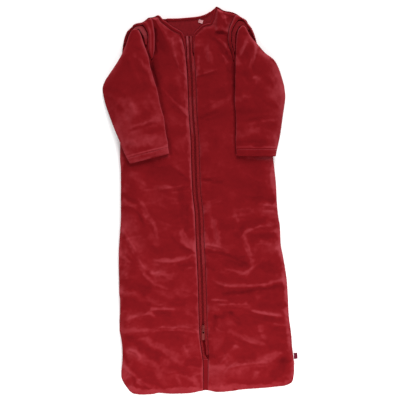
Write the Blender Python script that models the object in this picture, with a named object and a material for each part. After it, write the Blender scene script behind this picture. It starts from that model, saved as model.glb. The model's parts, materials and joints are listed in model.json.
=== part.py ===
"""A padded velour sleep sack for a baby, lying flat on its back.

The long zipped-in sleeves are folded down over the front, and the zip in the middle is closed.
X runs to the right as seen, Y towards the neck and Z up from the surface that the sack lies on.
The tables are in millimetres and the objects in metres.
"""

import math

import bmesh
import bpy
import numpy as np

MM = 0.001

# Heights above the surface, and thicknesses
BACK_THICK = 12.0
SEAM_GAP = 0.3
INNER_FACE = BACK_THICK + SEAM_GAP
SEAM_EDGE = 1.5
LOFT = 12.0
LOFT_RUN = 16.0
BACK_CURL = 8.0
ZIP_EDGE_LOFT = 3.4
ZIP_ROLL_LOFT = 4.0
ZIP_ROLL_RUN = 4.0
ZIP_VALLEY_RUN = 60.0
SLEEVE_WALL = 4.5
CUFF_THICK = 11.0
CUFF_WALL = 4.0

# Grid of a front panel, and of a sleeve
PANEL_COLUMNS = 18
PANEL_ROWS = 60
SLEEVE_ROWS = 27
SLEEVE_ACROSS = 9

# Side edges of the body from the hem corners up to the back's armholes: y, left x, right x
SIDES = [
    (-432, -169, 206),
    (-422, -177, 214),
    (-408, -182, 218),
    (-396, -182, 219),
    (-380, -180, 219),
    (-361, -179, 217),
    (-337, -180, 214),
    (-317, -183, 213),
    (-300, -186, 211),
    (-280, -186, 208),
    (-258, -185, 206),
    (-232, -185, 205),
    (-213, -187, 204),
    (-185, -187, 202),
    (-157, -188, 198),
    (-129, -188, 193),
    (-102, -187, 188),
    (-60, -184, 186),
    (-36, -183, 182),
    (-4, -183, 179),
    (38, -183, 177),
    (66, -183, 174),
    (100, -185, 170),
    (163, -184, 160),
    (256, -182, 147),
    (345, -180, 137),
]

# Lower edge from the left corner to the right one: x, y
HEM = [
    (-169, -432),
    (-163, -442),
    (-152, -449),
    (-136, -451),
    (-110, -450),
    (-95, -447),
    (-68, -449),
    (-27, -448),
    (1, -443),
    (15, -441),
    (43, -445),
    (71, -443),
    (99, -439),
    (126, -437),
    (154, -435),
    (182, -432),
    (198, -430),
    (206, -425),
]

# Upper edge of the back, over the left shoulder, the neck and the right shoulder: x, y
BACK_TOP = [
    (-180, 345),
    (-176, 372),
    (-169, 391),
    (-158, 402),
    (-149, 410),
    (-140, 411),
    (-125, 419),
    (-118, 424),
    (-109, 425),
    (-99, 429),
    (-95, 430),
    (-91, 427),
    (-85, 421),
    (-56, 422),
    (-27, 424),
    (-7, 426),
    (7, 429),
    (19, 434),
    (31, 443),
    (38, 450),
    (45, 447),
    (57, 440),
    (73, 437),
    (84, 433),
    (93, 427),
    (100, 423),
    (108, 418),
    (113, 409),
    (119, 402),
    (125, 390),
    (130, 375),
    (137, 345),
]

# Middle of the zip and the half width of the space between the front panels: y, x, left, right
ZIP = [
    (384, -25, 21, 16),
    (373, -24.5, 17, 12),
    (358, -23.5, 14, 10.5),
    (344, -23, 11, 10),
    (290, -19, 10.5, 10),
    (203, -16, 10, 10),
    (131, -11, 10, 10),
    (87, -10, 10, 10),
    (15, -7, 10, 10),
    (-29, -2, 10, 10),
    (-101, 1, 10, 10),
    (-159, 4, 10, 10),
    (-217, 6, 10, 10),
    (-261, 7, 10, 10),
    (-319, 9, 9.5, 9.5),
    (-361, 13, 8, 8),
    (-378, 13.6, 6.5, 6.5),
    (-450, 13.6, 6, 6),
]

# Armhole edge of the left front, from the armpit to the shoulder: x, y
ARMHOLE_LEFT = [
    (-183, 235),
    (-160, 257),
    (-135, 283),
    (-118, 309),
    (-107, 335),
    (-104, 358),
    (-104, 380),
    (-106, 402),
    (-112, 421),
]
ARMHOLE_RIGHT = [
    (151, 232),
    (126, 254),
    (102, 276),
    (87, 299),
    (77, 325),
    (73, 344),
    (68, 357),
    (65, 372),
    (66, 388),
    (69, 402),
    (75, 415),
    (83, 430),
]

# Upper edge of each front, from the shoulder along the neckline to the zip: x, y
NECK_LEFT = [
    (-112, 421),
    (-105, 424),
    (-98, 424),
    (-91, 414),
    (-80, 405),
    (-67, 395),
    (-54, 388),
    (-46, 384),
]
NECK_RIGHT = [
    (-9, 384),
    (2, 395),
    (9, 401),
    (17, 404),
    (27, 406),
    (33, 418),
    (37, 434),
    (41, 444),
    (50, 440),
    (61, 436),
    (73, 433),
    (83, 430),
]

# The largest folds of the fronts, from one end to the other with a sideways bow
FOLD_COLUMNS = ("x0", "y0", "x1", "y1", "bow", "width", "height")
FOLDS = [
    (-63, 377, -28, 282, 4, 15, 3.0),
    (-81, 250, -27, 195, 3, 13, 3.0),
    (-69, 82, -25, 50, 4, 14, 3.0),
    (30, 380, 73, 327, -8, 18, 5.0),
    (38, 402, 66, 400, 0, 26, 4.5),
    (-9, 288, 41, 302, -3, 12, 2.5),
    (-5, 184, 47, 203, -3, 14, -2.5),
    (-92, 21, -20, 34, 3, 11, 3.0),
    (-176, -13, -127, -63, 12, 13, 3.0),
    (-116, -52, -98, -83, 2, 13, 2.5),
    (-180, -69, -148, -121, 4, 13, 3.0),
    (-144, -133, -69, -172, -14, 16, 4.0),
    (-133, -171, -69, -208, -8, 14, 3.0),
    (-104, -141, -14, -129, -6, 12, 4.0),
    (-44, -153, -18, -149, 0, 13, -2.0),
    (-63, -81, -14, -116, -3, 16, 3.5),
    (-156, -211, -121, -229, -2, 12, 2.5),
    (-110, -255, -60, -253, 0, 12, 2.5),
    (-165, -278, -110, -264, 2, 13, 3.0),
    (-107, -298, -5, -303, 3, 12, 3.5),
    (-173, -307, -121, -304, 2, 13, 3.0),
    (-165, -348, -139, -371, 4, 13, 3.0),
    (-172, -384, -93, -438, -10, 13, 2.6),
    (9, 50, 47, 55, 0, 11, 2.5),
    (12, -104, 61, -115, 2, 13, 4.0),
    (16, -121, 102, -147, 6, 13, -2.5),
    (99, -87, 163, -60, 5, 14, 3.5),
    (99, -87, 122, -145, 2, 14, 3.5),
    (121, -92, 163, -81, 0, 12, -3.0),
    (26, -159, 142, -141, -18, 14, 4.0),
    (30, -185, 192, -187, -12, 15, 6.0),
    (56, -217, 190, -199, -6, 13, -3.5),
    (26, -233, 65, -233, 0, 11, 2.5),
    (50, -243, 111, -242, 0, 11, 2.5),
    (107, -252, 189, -269, 3, 14, 4.0),
    (32, -303, 93, -280, 22, 13, -2.5),
    (47, -290, 82, -290, 0, 20, 3.5),
    (70, -307, 151, -336, 8, 14, 4.0),
    (135, -303, 158, -304, 0, 18, 3.0),
    (70, -331, 110, -331, 0, 20, -2.5),
    (47, -380, 67, -359, 0, 12, 3.0),
    (70, -388, 157, -377, 3, 13, 4.0),
    (86, -367, 116, -367, 0, 13, -2.0),
    (172, -371, 202, -408, 0, 30, -4.0),
    (165, -290, 200, -290, 0, 12, 2.5),
    (186, -331, 212, -331, 0, 11, 2.5),
]

# Height of what lies under a sleeve: distance inside the front's edge, height of the sleeve
COVER_FRONT = [
    (-70, 1.0),
    (-45, 1.4),
    (-30, 5.5),
    (-15, 12.0),
    (0, 18.5),
    (12, 23.0),
    (25, 25.2),
    (40, 25.9),
    (70, 26.2),
    (200, 26.3),
]
# The same over the back's edge
COVER_BACK = [
    (-60, 1.0),
    (-38, 2.0),
    (-20, 8.5),
    (-9, 12.8),
    (0, 13.8),
    (12, 13.4),
    (400, 13.4),
]

# Sections of each sleeve, from the cap to the cuff seam: x, y of its outer and inner edge,
# and thickness
SLEEVE_LEFT = [
    (-157, 391, -145, 391, 9),
    (-161, 383, -137, 383, 10),
    (-165, 372, -134, 372, 11),
    (-171, 358, -130, 360, 12),
    (-178, 343, -127, 346, 12),
    (-188, 325, -120, 329, 12),
    (-199, 308, -115, 311, 12),
    (-211, 291, -110, 293, 12),
    (-220, 277, -105, 276, 12),
    (-226, 259, -99, 257, 12),
    (-224, 244, -95, 239, 12),
    (-220, 227, -92, 222, 12),
    (-214, 208, -87, 204, 12),
    (-206, 186, -82, 186, 12),
    (-197, 163, -80, 166, 12),
    (-188, 142, -77, 148, 12),
    (-178, 118, -74, 134, 12),
    (-168, 96, -73, 122, 11),
]
CUFF_LEFT_END = (-161, 85, -71, 108, 10)
SLEEVE_RIGHT = [
    (106, 401, 94, 401, 9),
    (110, 394, 89, 394, 10),
    (116, 382, 86, 382, 11),
    (124, 372, 85, 371, 12),
    (136, 359, 84, 358, 12),
    (150, 343, 84, 342, 12),
    (173, 325, 83, 324, 12),
    (184, 305, 83, 303, 12),
    (192, 281, 82, 281, 12),
    (197, 261, 82, 260, 12),
    (199, 240, 81, 240, 12),
    (197, 221, 81, 223, 12),
    (194, 202, 83, 203, 12),
    (191, 181, 84, 181, 12),
    (188, 160, 84, 160, 12),
    (184, 139, 83, 139, 12),
    (179, 118, 84, 117, 11),
]
CUFF_RIGHT_END = (176, 102, 85, 103, 10)

SLEEVE_FOLDS = [
    (-160, 166, -90, 185, 0, 12, 3.0),
    (-160, 158, -100, 176, 0, 9, -2.0),
    (-158, 218, -158, 205, 0, 24, 3.0),
    (-168, 133, -148, 134, 0, 12, 2.0),
    (-138, 325, -119, 290, 0, 16, 3.0),
    (111, 364, 94, 330, 2, 11, 3.5),
    (127, 367, 117, 310, -4, 11, 4.0),
    (126, 278, 129, 268, 0, 20, 3.0),
    (93, 255, 100, 232, 0, 20, 3.0),
    (105, 177, 175, 186, 0, 12, -2.0),
    (95, 133, 140, 132, 0, 13, -2.0),
]

# Armhole rims from the front over the shoulder to the back: x, y of the edge towards the body
# and of the edge towards the sleeve, height of each edge
RIM_LEFT = [
    (-111, 328, -114.5, 329, 22, 20),
    (-108, 337, -118, 337, 25, 23),
    (-105.2, 353, -121, 353, 27, 25),
    (-105, 379, -120, 379, 27, 25),
    (-107.5, 402, -125, 396, 25, 23),
    (-114, 422, -134, 407, 21, 20),
    (-132, 413, -140.5, 404, 18, 18),
    (-149, 409, -149.5, 403, 17, 17),
    (-158, 400, -156, 396, 16, 16),
    (-168, 390, -164, 387, 16, 16),
    (-173, 377, -168.5, 375, 15.5, 15.5),
    (-176.5, 362, -172, 361, 15.5, 15.5),
]
RIM_RIGHT = [
    (78, 326, 81, 326, 22, 20),
    (74.6, 344, 79, 344, 25, 23),
    (70, 357, 75, 357, 27, 25),
    (66.8, 372, 73, 372, 27, 25),
    (67.8, 388, 73, 388, 27, 25),
    (71, 402, 77, 400, 25, 23),
    (76.5, 415, 83, 409.5, 22, 21),
    (85, 429.5, 90, 418, 19, 19),
    (93, 426, 97, 419, 18, 18),
    (105, 418, 104, 413, 17, 17),
    (112, 408, 109, 405, 16, 16),
    (118, 401, 115, 397.5, 16, 16),
    (124.5, 389, 120.5, 386.5, 16, 16),
    (129, 375, 125.5, 375, 15.5, 15.5),
]

# Armhole zip tapes: x, y towards the rim, x, y towards the sleeve, height of each edge
TAPE_LEFT = [
    (-122, 360, -126.5, 362, 17, 20),
    (-121, 380, -130, 378, 16, 21),
    (-126.5, 395, -137.5, 390, 16, 21),
    (-135, 404.5, -142.5, 396, 16, 20),
    (-149.5, 401.5, -150.5, 395, 16, 19),
    (-156.5, 394.3, -157.5, 392, 15, 17),
    (-160.8, 389.5, -160.4, 388, 14.5, 15.5),
]
TAPE_RIGHT = [
    (79.7, 345, 82, 345, 17, 19),
    (74.5, 368, 79, 368, 16, 20),
    (74.5, 386, 80.5, 386, 16, 21),
    (78.5, 399, 85.5, 395.5, 16, 21),
    (84.5, 409, 90.5, 403.5, 16, 21),
    (92, 415, 95.5, 405.5, 16, 20),
    (102.5, 412, 102.5, 405.5, 16, 19),
    (108.3, 404, 107, 400, 15, 17),
    (114, 396.5, 112.5, 394.5, 14.5, 15.5),
]

# Neck bindings beside the front panels' edges: share of the way down, width, height of each edge
BINDING_LEFT = [
    (0.0, 4.0, 16, 15),
    (0.08, 6.0, 18, 16),
    (0.3, 8.0, 19, 16),
    (0.5, 8.0, 19, 16),
    (0.62, 7.0, 19, 16),
    (0.74, 5.5, 18, 16),
    (0.88, 3.5, 17, 15.5),
    (1.0, 1.2, 16.5, 15.5),
]
BINDING_RIGHT = [
    (0.0, 3.0, 16, 15),
    (0.1, 4.5, 17, 16),
    (0.3, 5.0, 19, 16),
    (0.6, 5.0, 19, 16),
    (0.72, 4.5, 19, 16),
    (0.82, 3.5, 18, 16),
    (0.92, 2.2, 17, 15.5),
    (1.0, 1.2, 16.5, 15.5),
]
BINDING_LOW = 340.0
# The back's binding: x, y of its lower edge, x, y of its upper edge, height of each
BINDING_BACK = [
    (-74, 415.3, -77, 421.5, 14.5, 17),
    (-56, 415.5, -56, 421.7, 14.5, 17),
    (-27, 417.5, -27, 423.7, 14.5, 17),
    (-7, 419.5, -7, 425.7, 14.5, 17),
    (8, 422.5, 6, 428.7, 14.5, 17),
    (18.5, 427, 16, 432.7, 14.5, 17),
    (26.5, 433, 24, 437.5, 14.5, 16),
]

# Zip, below the closed part: slider, pull tab and the strip over the seam at the hem
ZIP_TOP = 378.0
ZIP_END = -368.0
TAPE_INNER = 2.3
TAPE_TOP = 15.0
TAPE_OUTER_GAP = 0.5
TEETH_HALF = 2.0
TEETH_TOP = 16.0
SLIDER_Y = -297.0
SLIDER_LENGTH = 15.0
SLIDER_WIDTH = 8.6
SLIDER_LOW = 15.4
SLIDER_HIGH = 19.2
BRIDGE_HIGH = 23.6
BRIDGE_WIDTH = 2.6
BRIDGE_LENGTH = 11.0
BRIDGE_LEG = 1.8
BRIDGE_BAR = 1.2
TAB_AXLE = 1.3
TAB_AXLE_BEHIND = 2.2
TAB_WIDTH = 6.8
TAB_ARM = 1.5
TAB_ARM_LENGTH = 9.5
TAB_LENGTH = 25.0
TAB_THICK = 1.3
TAB_PITCH = 7.0
END_STRIP_HIGH = 16.0

SIZE_TAG = {"x": 2.2, "y": 414.4, "width": 10.5, "length": 7.5, "turn": -20.0}
SIDE_LABEL = {"x": 222.5, "y": -361.0, "width": 9.0, "length": 14.0, "turn": 3.0}
LABEL_THICK = 1.2
LINING_THICK = 1.0

COLOURS = {
    "velour": ((0.235, 0.012, 0.018), 0.85, 0.0),
    "lining": ((0.16, 0.012, 0.018), 0.9, 0.0),
    "tape": ((0.12, 0.012, 0.018), 0.8, 0.0),
    "teeth": ((0.06, 0.008, 0.012), 0.5, 0.0),
    "slider": ((0.11, 0.012, 0.018), 0.4, 0.3),
    "tag": ((0.85, 0.78, 0.78), 0.8, 0.0),
    "label": ((0.045, 0.006, 0.015), 0.8, 0.0),
}


def clear_scene():
    """Remove every object of the scene."""
    for item in list(bpy.data.objects):
        bpy.data.objects.remove(item, do_unlink=True)


def smooth(at, places, values):
    """A curve through the values without overshoot (monotone cubic), at each place in at."""
    x = np.asarray(places, float)
    y = np.asarray(values, float)
    if x[0] > x[-1]:
        x, y = x[::-1], y[::-1]
    run = np.diff(x)
    rise = np.diff(y) / run
    slope = np.empty_like(y)
    slope[0], slope[-1] = rise[0], rise[-1]
    same = rise[:-1] * rise[1:] > 0
    weight_a = 2 * run[1:] + run[:-1]
    weight_b = run[1:] + 2 * run[:-1]
    safe_a = np.where(same, rise[:-1], 1.0)
    safe_b = np.where(same, rise[1:], 1.0)
    mean = (weight_a + weight_b) / (weight_a / safe_a + weight_b / safe_b)
    slope[1:-1] = np.where(same, mean, 0.0)
    at = np.clip(at, x[0], x[-1])
    k = np.clip(np.searchsorted(x, at) - 1, 0, len(run) - 1)
    t = (at - x[k]) / run[k]
    a = y[k] * (1 + 2 * t) * (1 - t) ** 2 + run[k] * slope[k] * t * (1 - t) ** 2
    b = y[k + 1] * t * t * (3 - 2 * t) + run[k] * slope[k + 1] * t * t * (t - 1)
    return a + b


def column(table, index):
    """One column of a table."""
    return [row[index] for row in table]


def along(points, count):
    """A rounded path through the points, with count points evenly spaced on it."""
    points = np.asarray(points, float)
    steps = np.linalg.norm(np.diff(points[:, :2], axis=0), axis=1)
    place = np.concatenate([[0.0], np.cumsum(steps)])
    at = np.linspace(0, place[-1], count)
    return np.column_stack([smooth(at, place, points[:, k]) for k in range(points.shape[1])])


def spread(count, ends):
    """Places from 0 to 1, closer together towards the ends by the share given."""
    t = np.linspace(0, 1, count)
    return (1 - ends) * t + ends * (0.5 - 0.5 * np.cos(math.pi * t))


def distance(points, path):
    """Distance of each point to an open path."""
    a, b = path[:-1], path[1:]
    d = b - a
    length = (d**2).sum(axis=1)
    rel = points[:, None, :] - a[None]
    t = np.clip((rel * d[None]).sum(axis=2) / length[None], 0, 1)
    near = rel - t[..., None] * d[None]
    return np.sqrt((near**2).sum(axis=2)).min(axis=1)


def inside(points, loop):
    """Whether each point is within a closed loop."""
    x, y = points[:, 0][:, None], points[:, 1][:, None]
    a, b = loop, np.roll(loop, -1, axis=0)
    crosses = (a[:, 1][None] > y) != (b[:, 1][None] > y)
    slant = (b[:, 0] - a[:, 0]) / np.where(b[:, 1] == a[:, 1], 1e-9, b[:, 1] - a[:, 1])
    at = a[:, 0][None] + (y - a[:, 1][None]) * slant[None]
    return (crosses & (x < at)).sum(axis=1) % 2 == 1


def signed(points, loop):
    """Distance to a closed loop, positive inside it."""
    closed = np.vstack([loop, loop[:1]])
    return np.where(inside(points, loop), 1, -1) * distance(points, closed)


def zip_middle(y):
    """The zip's x at each y."""
    return smooth(y, column(ZIP, 0), column(ZIP, 1))


def side_path(side, low, high, step=17.0):
    """Points up one side of the body, from low to high."""
    count = max(3, int((high - low) / step))
    y = np.linspace(low, high, count)
    x = smooth(y, column(SIDES, 0), column(SIDES, 1 if side < 0 else 2))
    return np.column_stack([x, y])


def zip_path(side, low, high, count=70):
    """Points up one edge of the zip's space."""
    y = np.linspace(low, high, count)
    half = smooth(y, column(ZIP, 0), column(ZIP, 2 if side < 0 else 3))
    return np.column_stack([zip_middle(y) + side * half, y])


def hem_y(x):
    """The hem's y at each x."""
    return smooth(x, column(HEM, 0), column(HEM, 1))


def body_loop():
    """The outline of the whole body, anticlockwise from the left hem corner."""
    hem = along(HEM, 34)
    right = side_path(1, hem[-1, 1], SIDES[-1][0])
    top = along(BACK_TOP, 56)[::-1]
    left = side_path(-1, SIDES[0][0], SIDES[-1][0])[::-1]
    return np.vstack([hem[:-1], right[:-1], top[:-1], left[:-1]])


class Front:
    """The plan of one front panel: its four edges, and the distance of points to them."""

    def __init__(self, side):
        self.side = side
        zip_low = float(hem_y(zip_middle(-443.0)))
        if side < 0:
            armhole, neck = ARMHOLE_LEFT, NECK_LEFT
            corner = np.array(HEM[0], float)
            self.hem_x = (corner[0], zip_middle(zip_low) - ZIP[-1][2])
        else:
            armhole, neck = ARMHOLE_RIGHT, NECK_RIGHT
            corner = np.array(HEM[-1], float)
            self.hem_x = (zip_middle(zip_low) + ZIP[-1][3], corner[0])
        rows = [row for row in SIDES if corner[1] < row[0] < armhole[0][1] - 8]
        up = [(row[1] if side < 0 else row[2], row[0]) for row in rows]
        self.outer = np.array([tuple(corner)] + up + list(armhole), float)
        self.neck = np.array(neck, float)
        x = np.linspace(self.hem_x[0], self.hem_x[1], 40)
        self.hem = np.column_stack([x, hem_y(x)])
        end = self.hem[-1] if side < 0 else self.hem[0]
        top = self.neck[-1] if side < 0 else self.neck[0]
        self.zip_edge = zip_path(side, end[1], top[1])
        self.zip_edge[0] = end
        self.zip_edge[-1] = top

    def edge_at(self, share):
        """Both upright edges at the same share of their height: outer edge, zip edge."""
        outer_y = self.outer[0, 1] + share * (self.outer[-1, 1] - self.outer[0, 1])
        outer_x = smooth(outer_y, self.outer[:, 1], self.outer[:, 0])
        zip_y = self.zip_edge[0, 1] + share * (self.zip_edge[-1, 1] - self.zip_edge[0, 1])
        zip_x = smooth(zip_y, self.zip_edge[:, 1], self.zip_edge[:, 0])
        outer = np.column_stack([outer_x, outer_y])
        inner = np.column_stack([zip_x, zip_y])
        return (outer, inner) if self.side < 0 else (inner, outer)

    def grid(self, columns, rows):
        """A patch over the four edges, as points[row, column] in plan.

        It is the bilinear patch of the four corners, and each edge's way off its chord is added
        with a weight that fades with the square of the distance from that edge.
        """
        u = spread(columns, 0.55)
        v = spread(rows, 0.35)
        low = along(self.hem, 400)[np.round(u * 399).astype(int)]
        top = along(self.neck, 400)[np.round(u * 399).astype(int)]
        left, right = self.edge_at(v)
        uu = u[None, :, None]
        vv = v[:, None, None]
        left_chord = (1 - vv) * left[0] + vv * left[-1]
        right_chord = (1 - vv) * right[0] + vv * right[-1]
        low_chord = (1 - uu) * left[0] + uu * right[0]
        top_chord = (1 - uu) * left[-1] + uu * right[-1]
        patch = (1 - uu) * left_chord + uu * right_chord
        patch = patch + (1 - uu) ** 2 * (left[:, None] - left_chord)
        patch = patch + uu**2 * (right[:, None] - right_chord)
        patch = patch + (1 - vv) ** 2 * (low[None] - low_chord)
        return patch + vv**2 * (top[None] - top_chord)

    def loop(self, columns=40, rows=90):
        """The panel's outline as a closed loop, anticlockwise."""
        grid = self.grid(columns, rows)
        return rim_of(grid)

    def loft(self, points):
        """The panel's thickness at each point: full in the middle, low at seams and zip."""
        open_edge = [self.outer, self.neck, self.hem]
        to_seam = np.min([distance(points, along(edge, 160)) for edge in open_edge], axis=0)
        to_zip = distance(points, self.zip_edge)
        seam = SEAM_EDGE + LOFT * (1 - np.exp(-to_seam / LOFT_RUN))
        valley = np.clip(to_zip / ZIP_VALLEY_RUN, 0, 1)
        valley = valley * valley * (3 - 2 * valley)
        roll = ZIP_ROLL_LOFT * (1 - np.exp(-to_zip / ZIP_ROLL_RUN))
        rest = LOFT + SEAM_EDGE - ZIP_EDGE_LOFT - ZIP_ROLL_LOFT
        zip_side = ZIP_EDGE_LOFT + roll + rest * valley
        thick = seam * zip_side / (LOFT + SEAM_EDGE)
        return np.maximum(thick, SEAM_EDGE), to_seam, to_zip


def rim_of(grid):
    """The points round a grid, anticlockwise, each once."""
    return np.vstack([grid[0, :-1], grid[:-1, -1], grid[-1, :0:-1], grid[:0:-1, 0]])


def fold_height(points, table):
    """Sum of the folds at each point.

    A fold runs from x0, y0 to x1, y1 and bows sideways in the middle. Across it the height falls
    off as a bell of the given width, and it fades out at both ends.
    """
    total = np.zeros(len(points))
    for row in table:
        fold = dict(zip(FOLD_COLUMNS, row))
        start = np.array([fold["x0"], fold["y0"]], float)
        way = np.array([fold["x1"], fold["y1"]], float) - start
        length = max(np.linalg.norm(way), 1.0)
        way = way / length
        rel = points - start
        run = rel @ way
        off = rel @ np.array([-way[1], way[0]])
        share = np.clip(run / length, 0, 1)
        off = off - fold["bow"] * 4 * share * (1 - share)
        past = np.where(run < 0, -run, np.where(run > length, run - length, 0.0))
        width = fold["width"] * 0.6
        fade = 0.35 + 0.65 * np.sqrt(np.maximum(4 * share * (1 - share), 0))
        total += fold["height"] * fade * np.exp(-(off**2 + past**2) / width**2)
    return total


def under_sleeves(points):
    """1 where a front panel is in the open, 0 where a sleeve lies on it."""
    mask = np.ones(len(points))
    for rows, end in ((SLEEVE_LEFT, CUFF_LEFT_END), (SLEEVE_RIGHT, CUFF_RIGHT_END)):
        loop = [row[0:2] for row in rows] + [end[0:2], end[2:4]]
        loop += [row[2:4] for row in rows[::-1]]
        cover = signed(points, np.array(loop, float))
        mask *= np.clip((-cover - 2.0) / 14.0, 0, 1)
    return mask


def front_height(front, points):
    """Height of a front panel's outer face above the surface at each point."""
    thick, to_seam, to_zip = front.loft(points)
    ease = np.clip(np.minimum(to_seam, to_zip * 1.6) / 14.0, 0, 1)
    folds = fold_height(points, FOLDS) * ease * under_sleeves(points)
    return INNER_FACE + np.maximum(thick + folds, SEAM_EDGE)


def material(kind):
    """A plain material of one of the named kinds."""
    found = bpy.data.materials.get(kind)
    if found:
        return found
    colour, rough, metal = COLOURS[kind]
    made = bpy.data.materials.new(kind)
    made.use_nodes = True
    shader = made.node_tree.nodes["Principled BSDF"]
    shader.inputs["Base Color"].default_value = (*colour, 1.0)
    shader.inputs["Roughness"].default_value = rough
    shader.inputs["Metallic"].default_value = metal
    return made


def add_object(name, points, faces, kind, origin=(0.0, 0.0, 0.0)):
    """A mesh object from points in millimetres, with its origin where given."""
    mesh = bpy.data.meshes.new(name)
    offset = np.asarray(points, float) - np.asarray(origin, float)
    mesh.from_pydata((offset * MM).tolist(), [], [list(map(int, f)) for f in faces])
    mesh.validate()
    mesh.update()
    mesh.shade_smooth()
    mesh.set_sharp_from_angle(angle=math.radians(40))
    mesh.materials.append(material(kind))
    made = bpy.data.objects.new(name, mesh)
    made.location = np.asarray(origin, float) * MM
    bpy.context.scene.collection.objects.link(made)
    return made


def grid_faces(rows, columns, first=0):
    """Faces of a grid of points, row by row, that point up when x and y grow."""
    faces = []
    for r in range(rows - 1):
        for c in range(columns - 1):
            a = first + r * columns + c
            faces.append((a, a + 1, a + columns + 1, a + columns))
    return faces


def build_front(name, front):
    """A front panel: a flat inner face, and an outer face with its loft and largest folds."""
    plan = front.grid(PANEL_COLUMNS, PANEL_ROWS)
    flat = plan.reshape(-1, 2)
    high = front_height(front, flat)
    points = [np.column_stack([flat, high])]
    faces = grid_faces(PANEL_ROWS, PANEL_COLUMNS)
    index = np.arange(len(flat)).reshape(PANEL_ROWS, PANEL_COLUMNS)
    ring = rim_of(index[..., None])[:, 0]
    lower = np.column_stack([flat[ring], np.full(len(ring), INNER_FACE)])
    points.append(lower)
    base = len(flat)
    count = len(ring)
    for k in range(count):
        n = (k + 1) % count
        faces.append((ring[k], base + k, base + n, ring[n]))
    faces.append([base + k for k in range(count)][::-1])
    add_object(name, np.vstack(points), faces, "velour")


def inward(loop, amount):
    """The loop moved inwards, its corners softened."""
    closed_before = np.roll(loop, 1, axis=0)
    closed_after = np.roll(loop, -1, axis=0)
    way = closed_after - closed_before
    way /= np.linalg.norm(way, axis=1)[:, None]
    normal = np.column_stack([-way[:, 1], way[:, 0]])
    for _ in range(3):
        normal = (normal * 2 + np.roll(normal, 1, axis=0) + np.roll(normal, -1, axis=0)) / 4
    return loop + normal * amount


def build_back():
    """The back panel: flat above and below, with an edge that curls up to the seam."""
    loop = body_loop()
    rings = [(0.0, BACK_THICK)]
    for turn in (0, 45, 90):
        a = math.radians(turn)
        reach = BACK_CURL * (1 - math.cos(a))
        height = (BACK_THICK - SEAM_EDGE) * (1 - math.sin(a))
        rings.append((reach, height))
    points = []
    faces = []
    count = len(loop)
    for reach, height in rings:
        ring = inward(loop, reach)
        points.append(np.column_stack([ring, np.full(count, height)]))
    faces.append(list(range(count)))
    for level in range(len(rings) - 1):
        for k in range(count):
            n = (k + 1) % count
            a, b = level * count, (level + 1) * count
            faces.append((a + k, b + k, b + n, a + n))
    last = (len(rings) - 1) * count
    faces.append([last + k for k in range(count)][::-1])
    add_object("back_panel", np.vstack(points), faces, "velour")


def sleeve_floor(points, fronts, body):
    """Height that a sleeve lies at: over the front, over the back's edge or near the surface."""
    over_back = smooth(signed(points, body), column(COVER_BACK, 0), column(COVER_BACK, 1))
    height = over_back
    for loop in fronts:
        cover = smooth(signed(points, loop), column(COVER_FRONT, 0), column(COVER_FRONT, 1))
        height = np.maximum(height, cover)
    return height


def stadium(width, thick, wall):
    """A flat tube's section: distance from its left edge, and height from its middle."""
    reach = thick / 2
    flat = np.linspace(reach, width - reach, SLEEVE_ACROSS)
    turn = np.radians([45, 0, -45])
    s = [flat, width - reach + reach * np.cos(turn), flat[::-1], reach - reach * np.cos(turn)]
    t = [np.full(SLEEVE_ACROSS, reach), reach * np.sin(turn)]
    t += [np.full(SLEEVE_ACROSS, -reach), -reach * np.sin(turn)]
    return np.concatenate(s) + wall, np.concatenate(t)


def tube(name, sections, wall, fronts, body, kind, fold_share=1.0):
    """A flattened tube through sections: x, y of both edges and the thickness of each."""
    rings = []
    if sections[0][0] > sections[0][2]:
        sections = np.asarray(sections)[:, [2, 3, 0, 1, 4]]
    for inner in (0, 1):
        layer = []
        for x0, y0, x1, y1, thick in sections:
            start, end = np.array([x0, y0]), np.array([x1, y1])
            width = float(np.linalg.norm(end - start))
            inset = min(wall, 0.3 * width, 0.36 * thick) * inner
            s, t = stadium(width - 2 * inset, thick - 2 * inset, inset)
            plan = start + (end - start) / width * s[:, None]
            floor = sleeve_floor(plan, fronts, body)
            upper = np.clip(t / (thick / 2), 0, 1)
            fold = fold_height(plan, SLEEVE_FOLDS) * upper * fold_share
            fold = np.maximum(fold, -1.2) * (1 - 0.9 * inner)
            layer.append(np.column_stack([plan, floor + thick / 2 + t + fold]))
        rings.append(np.array(layer))
    outer, hollow = rings
    rows, count = outer.shape[:2]
    points = np.vstack([outer.reshape(-1, 3), hollow.reshape(-1, 3)])
    second = rows * count
    faces = []
    for r in range(rows - 1):
        for k in range(count):
            n = (k + 1) % count
            a, b = r * count, (r + 1) * count
            faces.append((a + k, a + n, b + n, b + k))
            faces.append((second + a + k, second + b + k, second + b + n, second + a + n))
    for k in range(count):
        n = (k + 1) % count
        faces.append((k, second + k, second + n, n))
        e = (rows - 1) * count
        faces.append((e + k, e + n, second + e + n, second + e + k))
    made = add_object(name, points, faces, kind)
    face_out(made)
    return made


def face_out(item):
    """Turn the faces of a closed mesh outwards."""
    bm = bmesh.new()
    bm.from_mesh(item.data)
    bmesh.ops.recalc_face_normals(bm, faces=bm.faces)
    bm.to_mesh(item.data)
    bm.free()


def build_sleeve(name, cuff_name, table, cuff_end, fronts, body):
    """A sleeve and its cuff band, with a seam's gap between them."""
    table = np.array(table, float)
    place = np.linspace(0, 1, len(table))
    at = np.linspace(0, 1, SLEEVE_ROWS)
    sections = np.column_stack([smooth(at, place, table[:, k]) for k in range(5)])
    tube(name, sections, SLEEVE_WALL, fronts, body, "velour")
    last = table[-1].copy()
    end = np.array(cuff_end, float)
    way = end[:4] - last[:4]
    middle = np.linalg.norm((way[:2] + way[2:]) / 2)
    start = last.copy()
    start[:4] = last[:4] + way * SEAM_GAP / middle
    start[4] = CUFF_THICK
    rows = [start + (end - start) * share for share in (0, 0.5, 1)]
    tube(cuff_name, np.array(rows), CUFF_WALL, fronts, body, "velour", 0.0)


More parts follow.
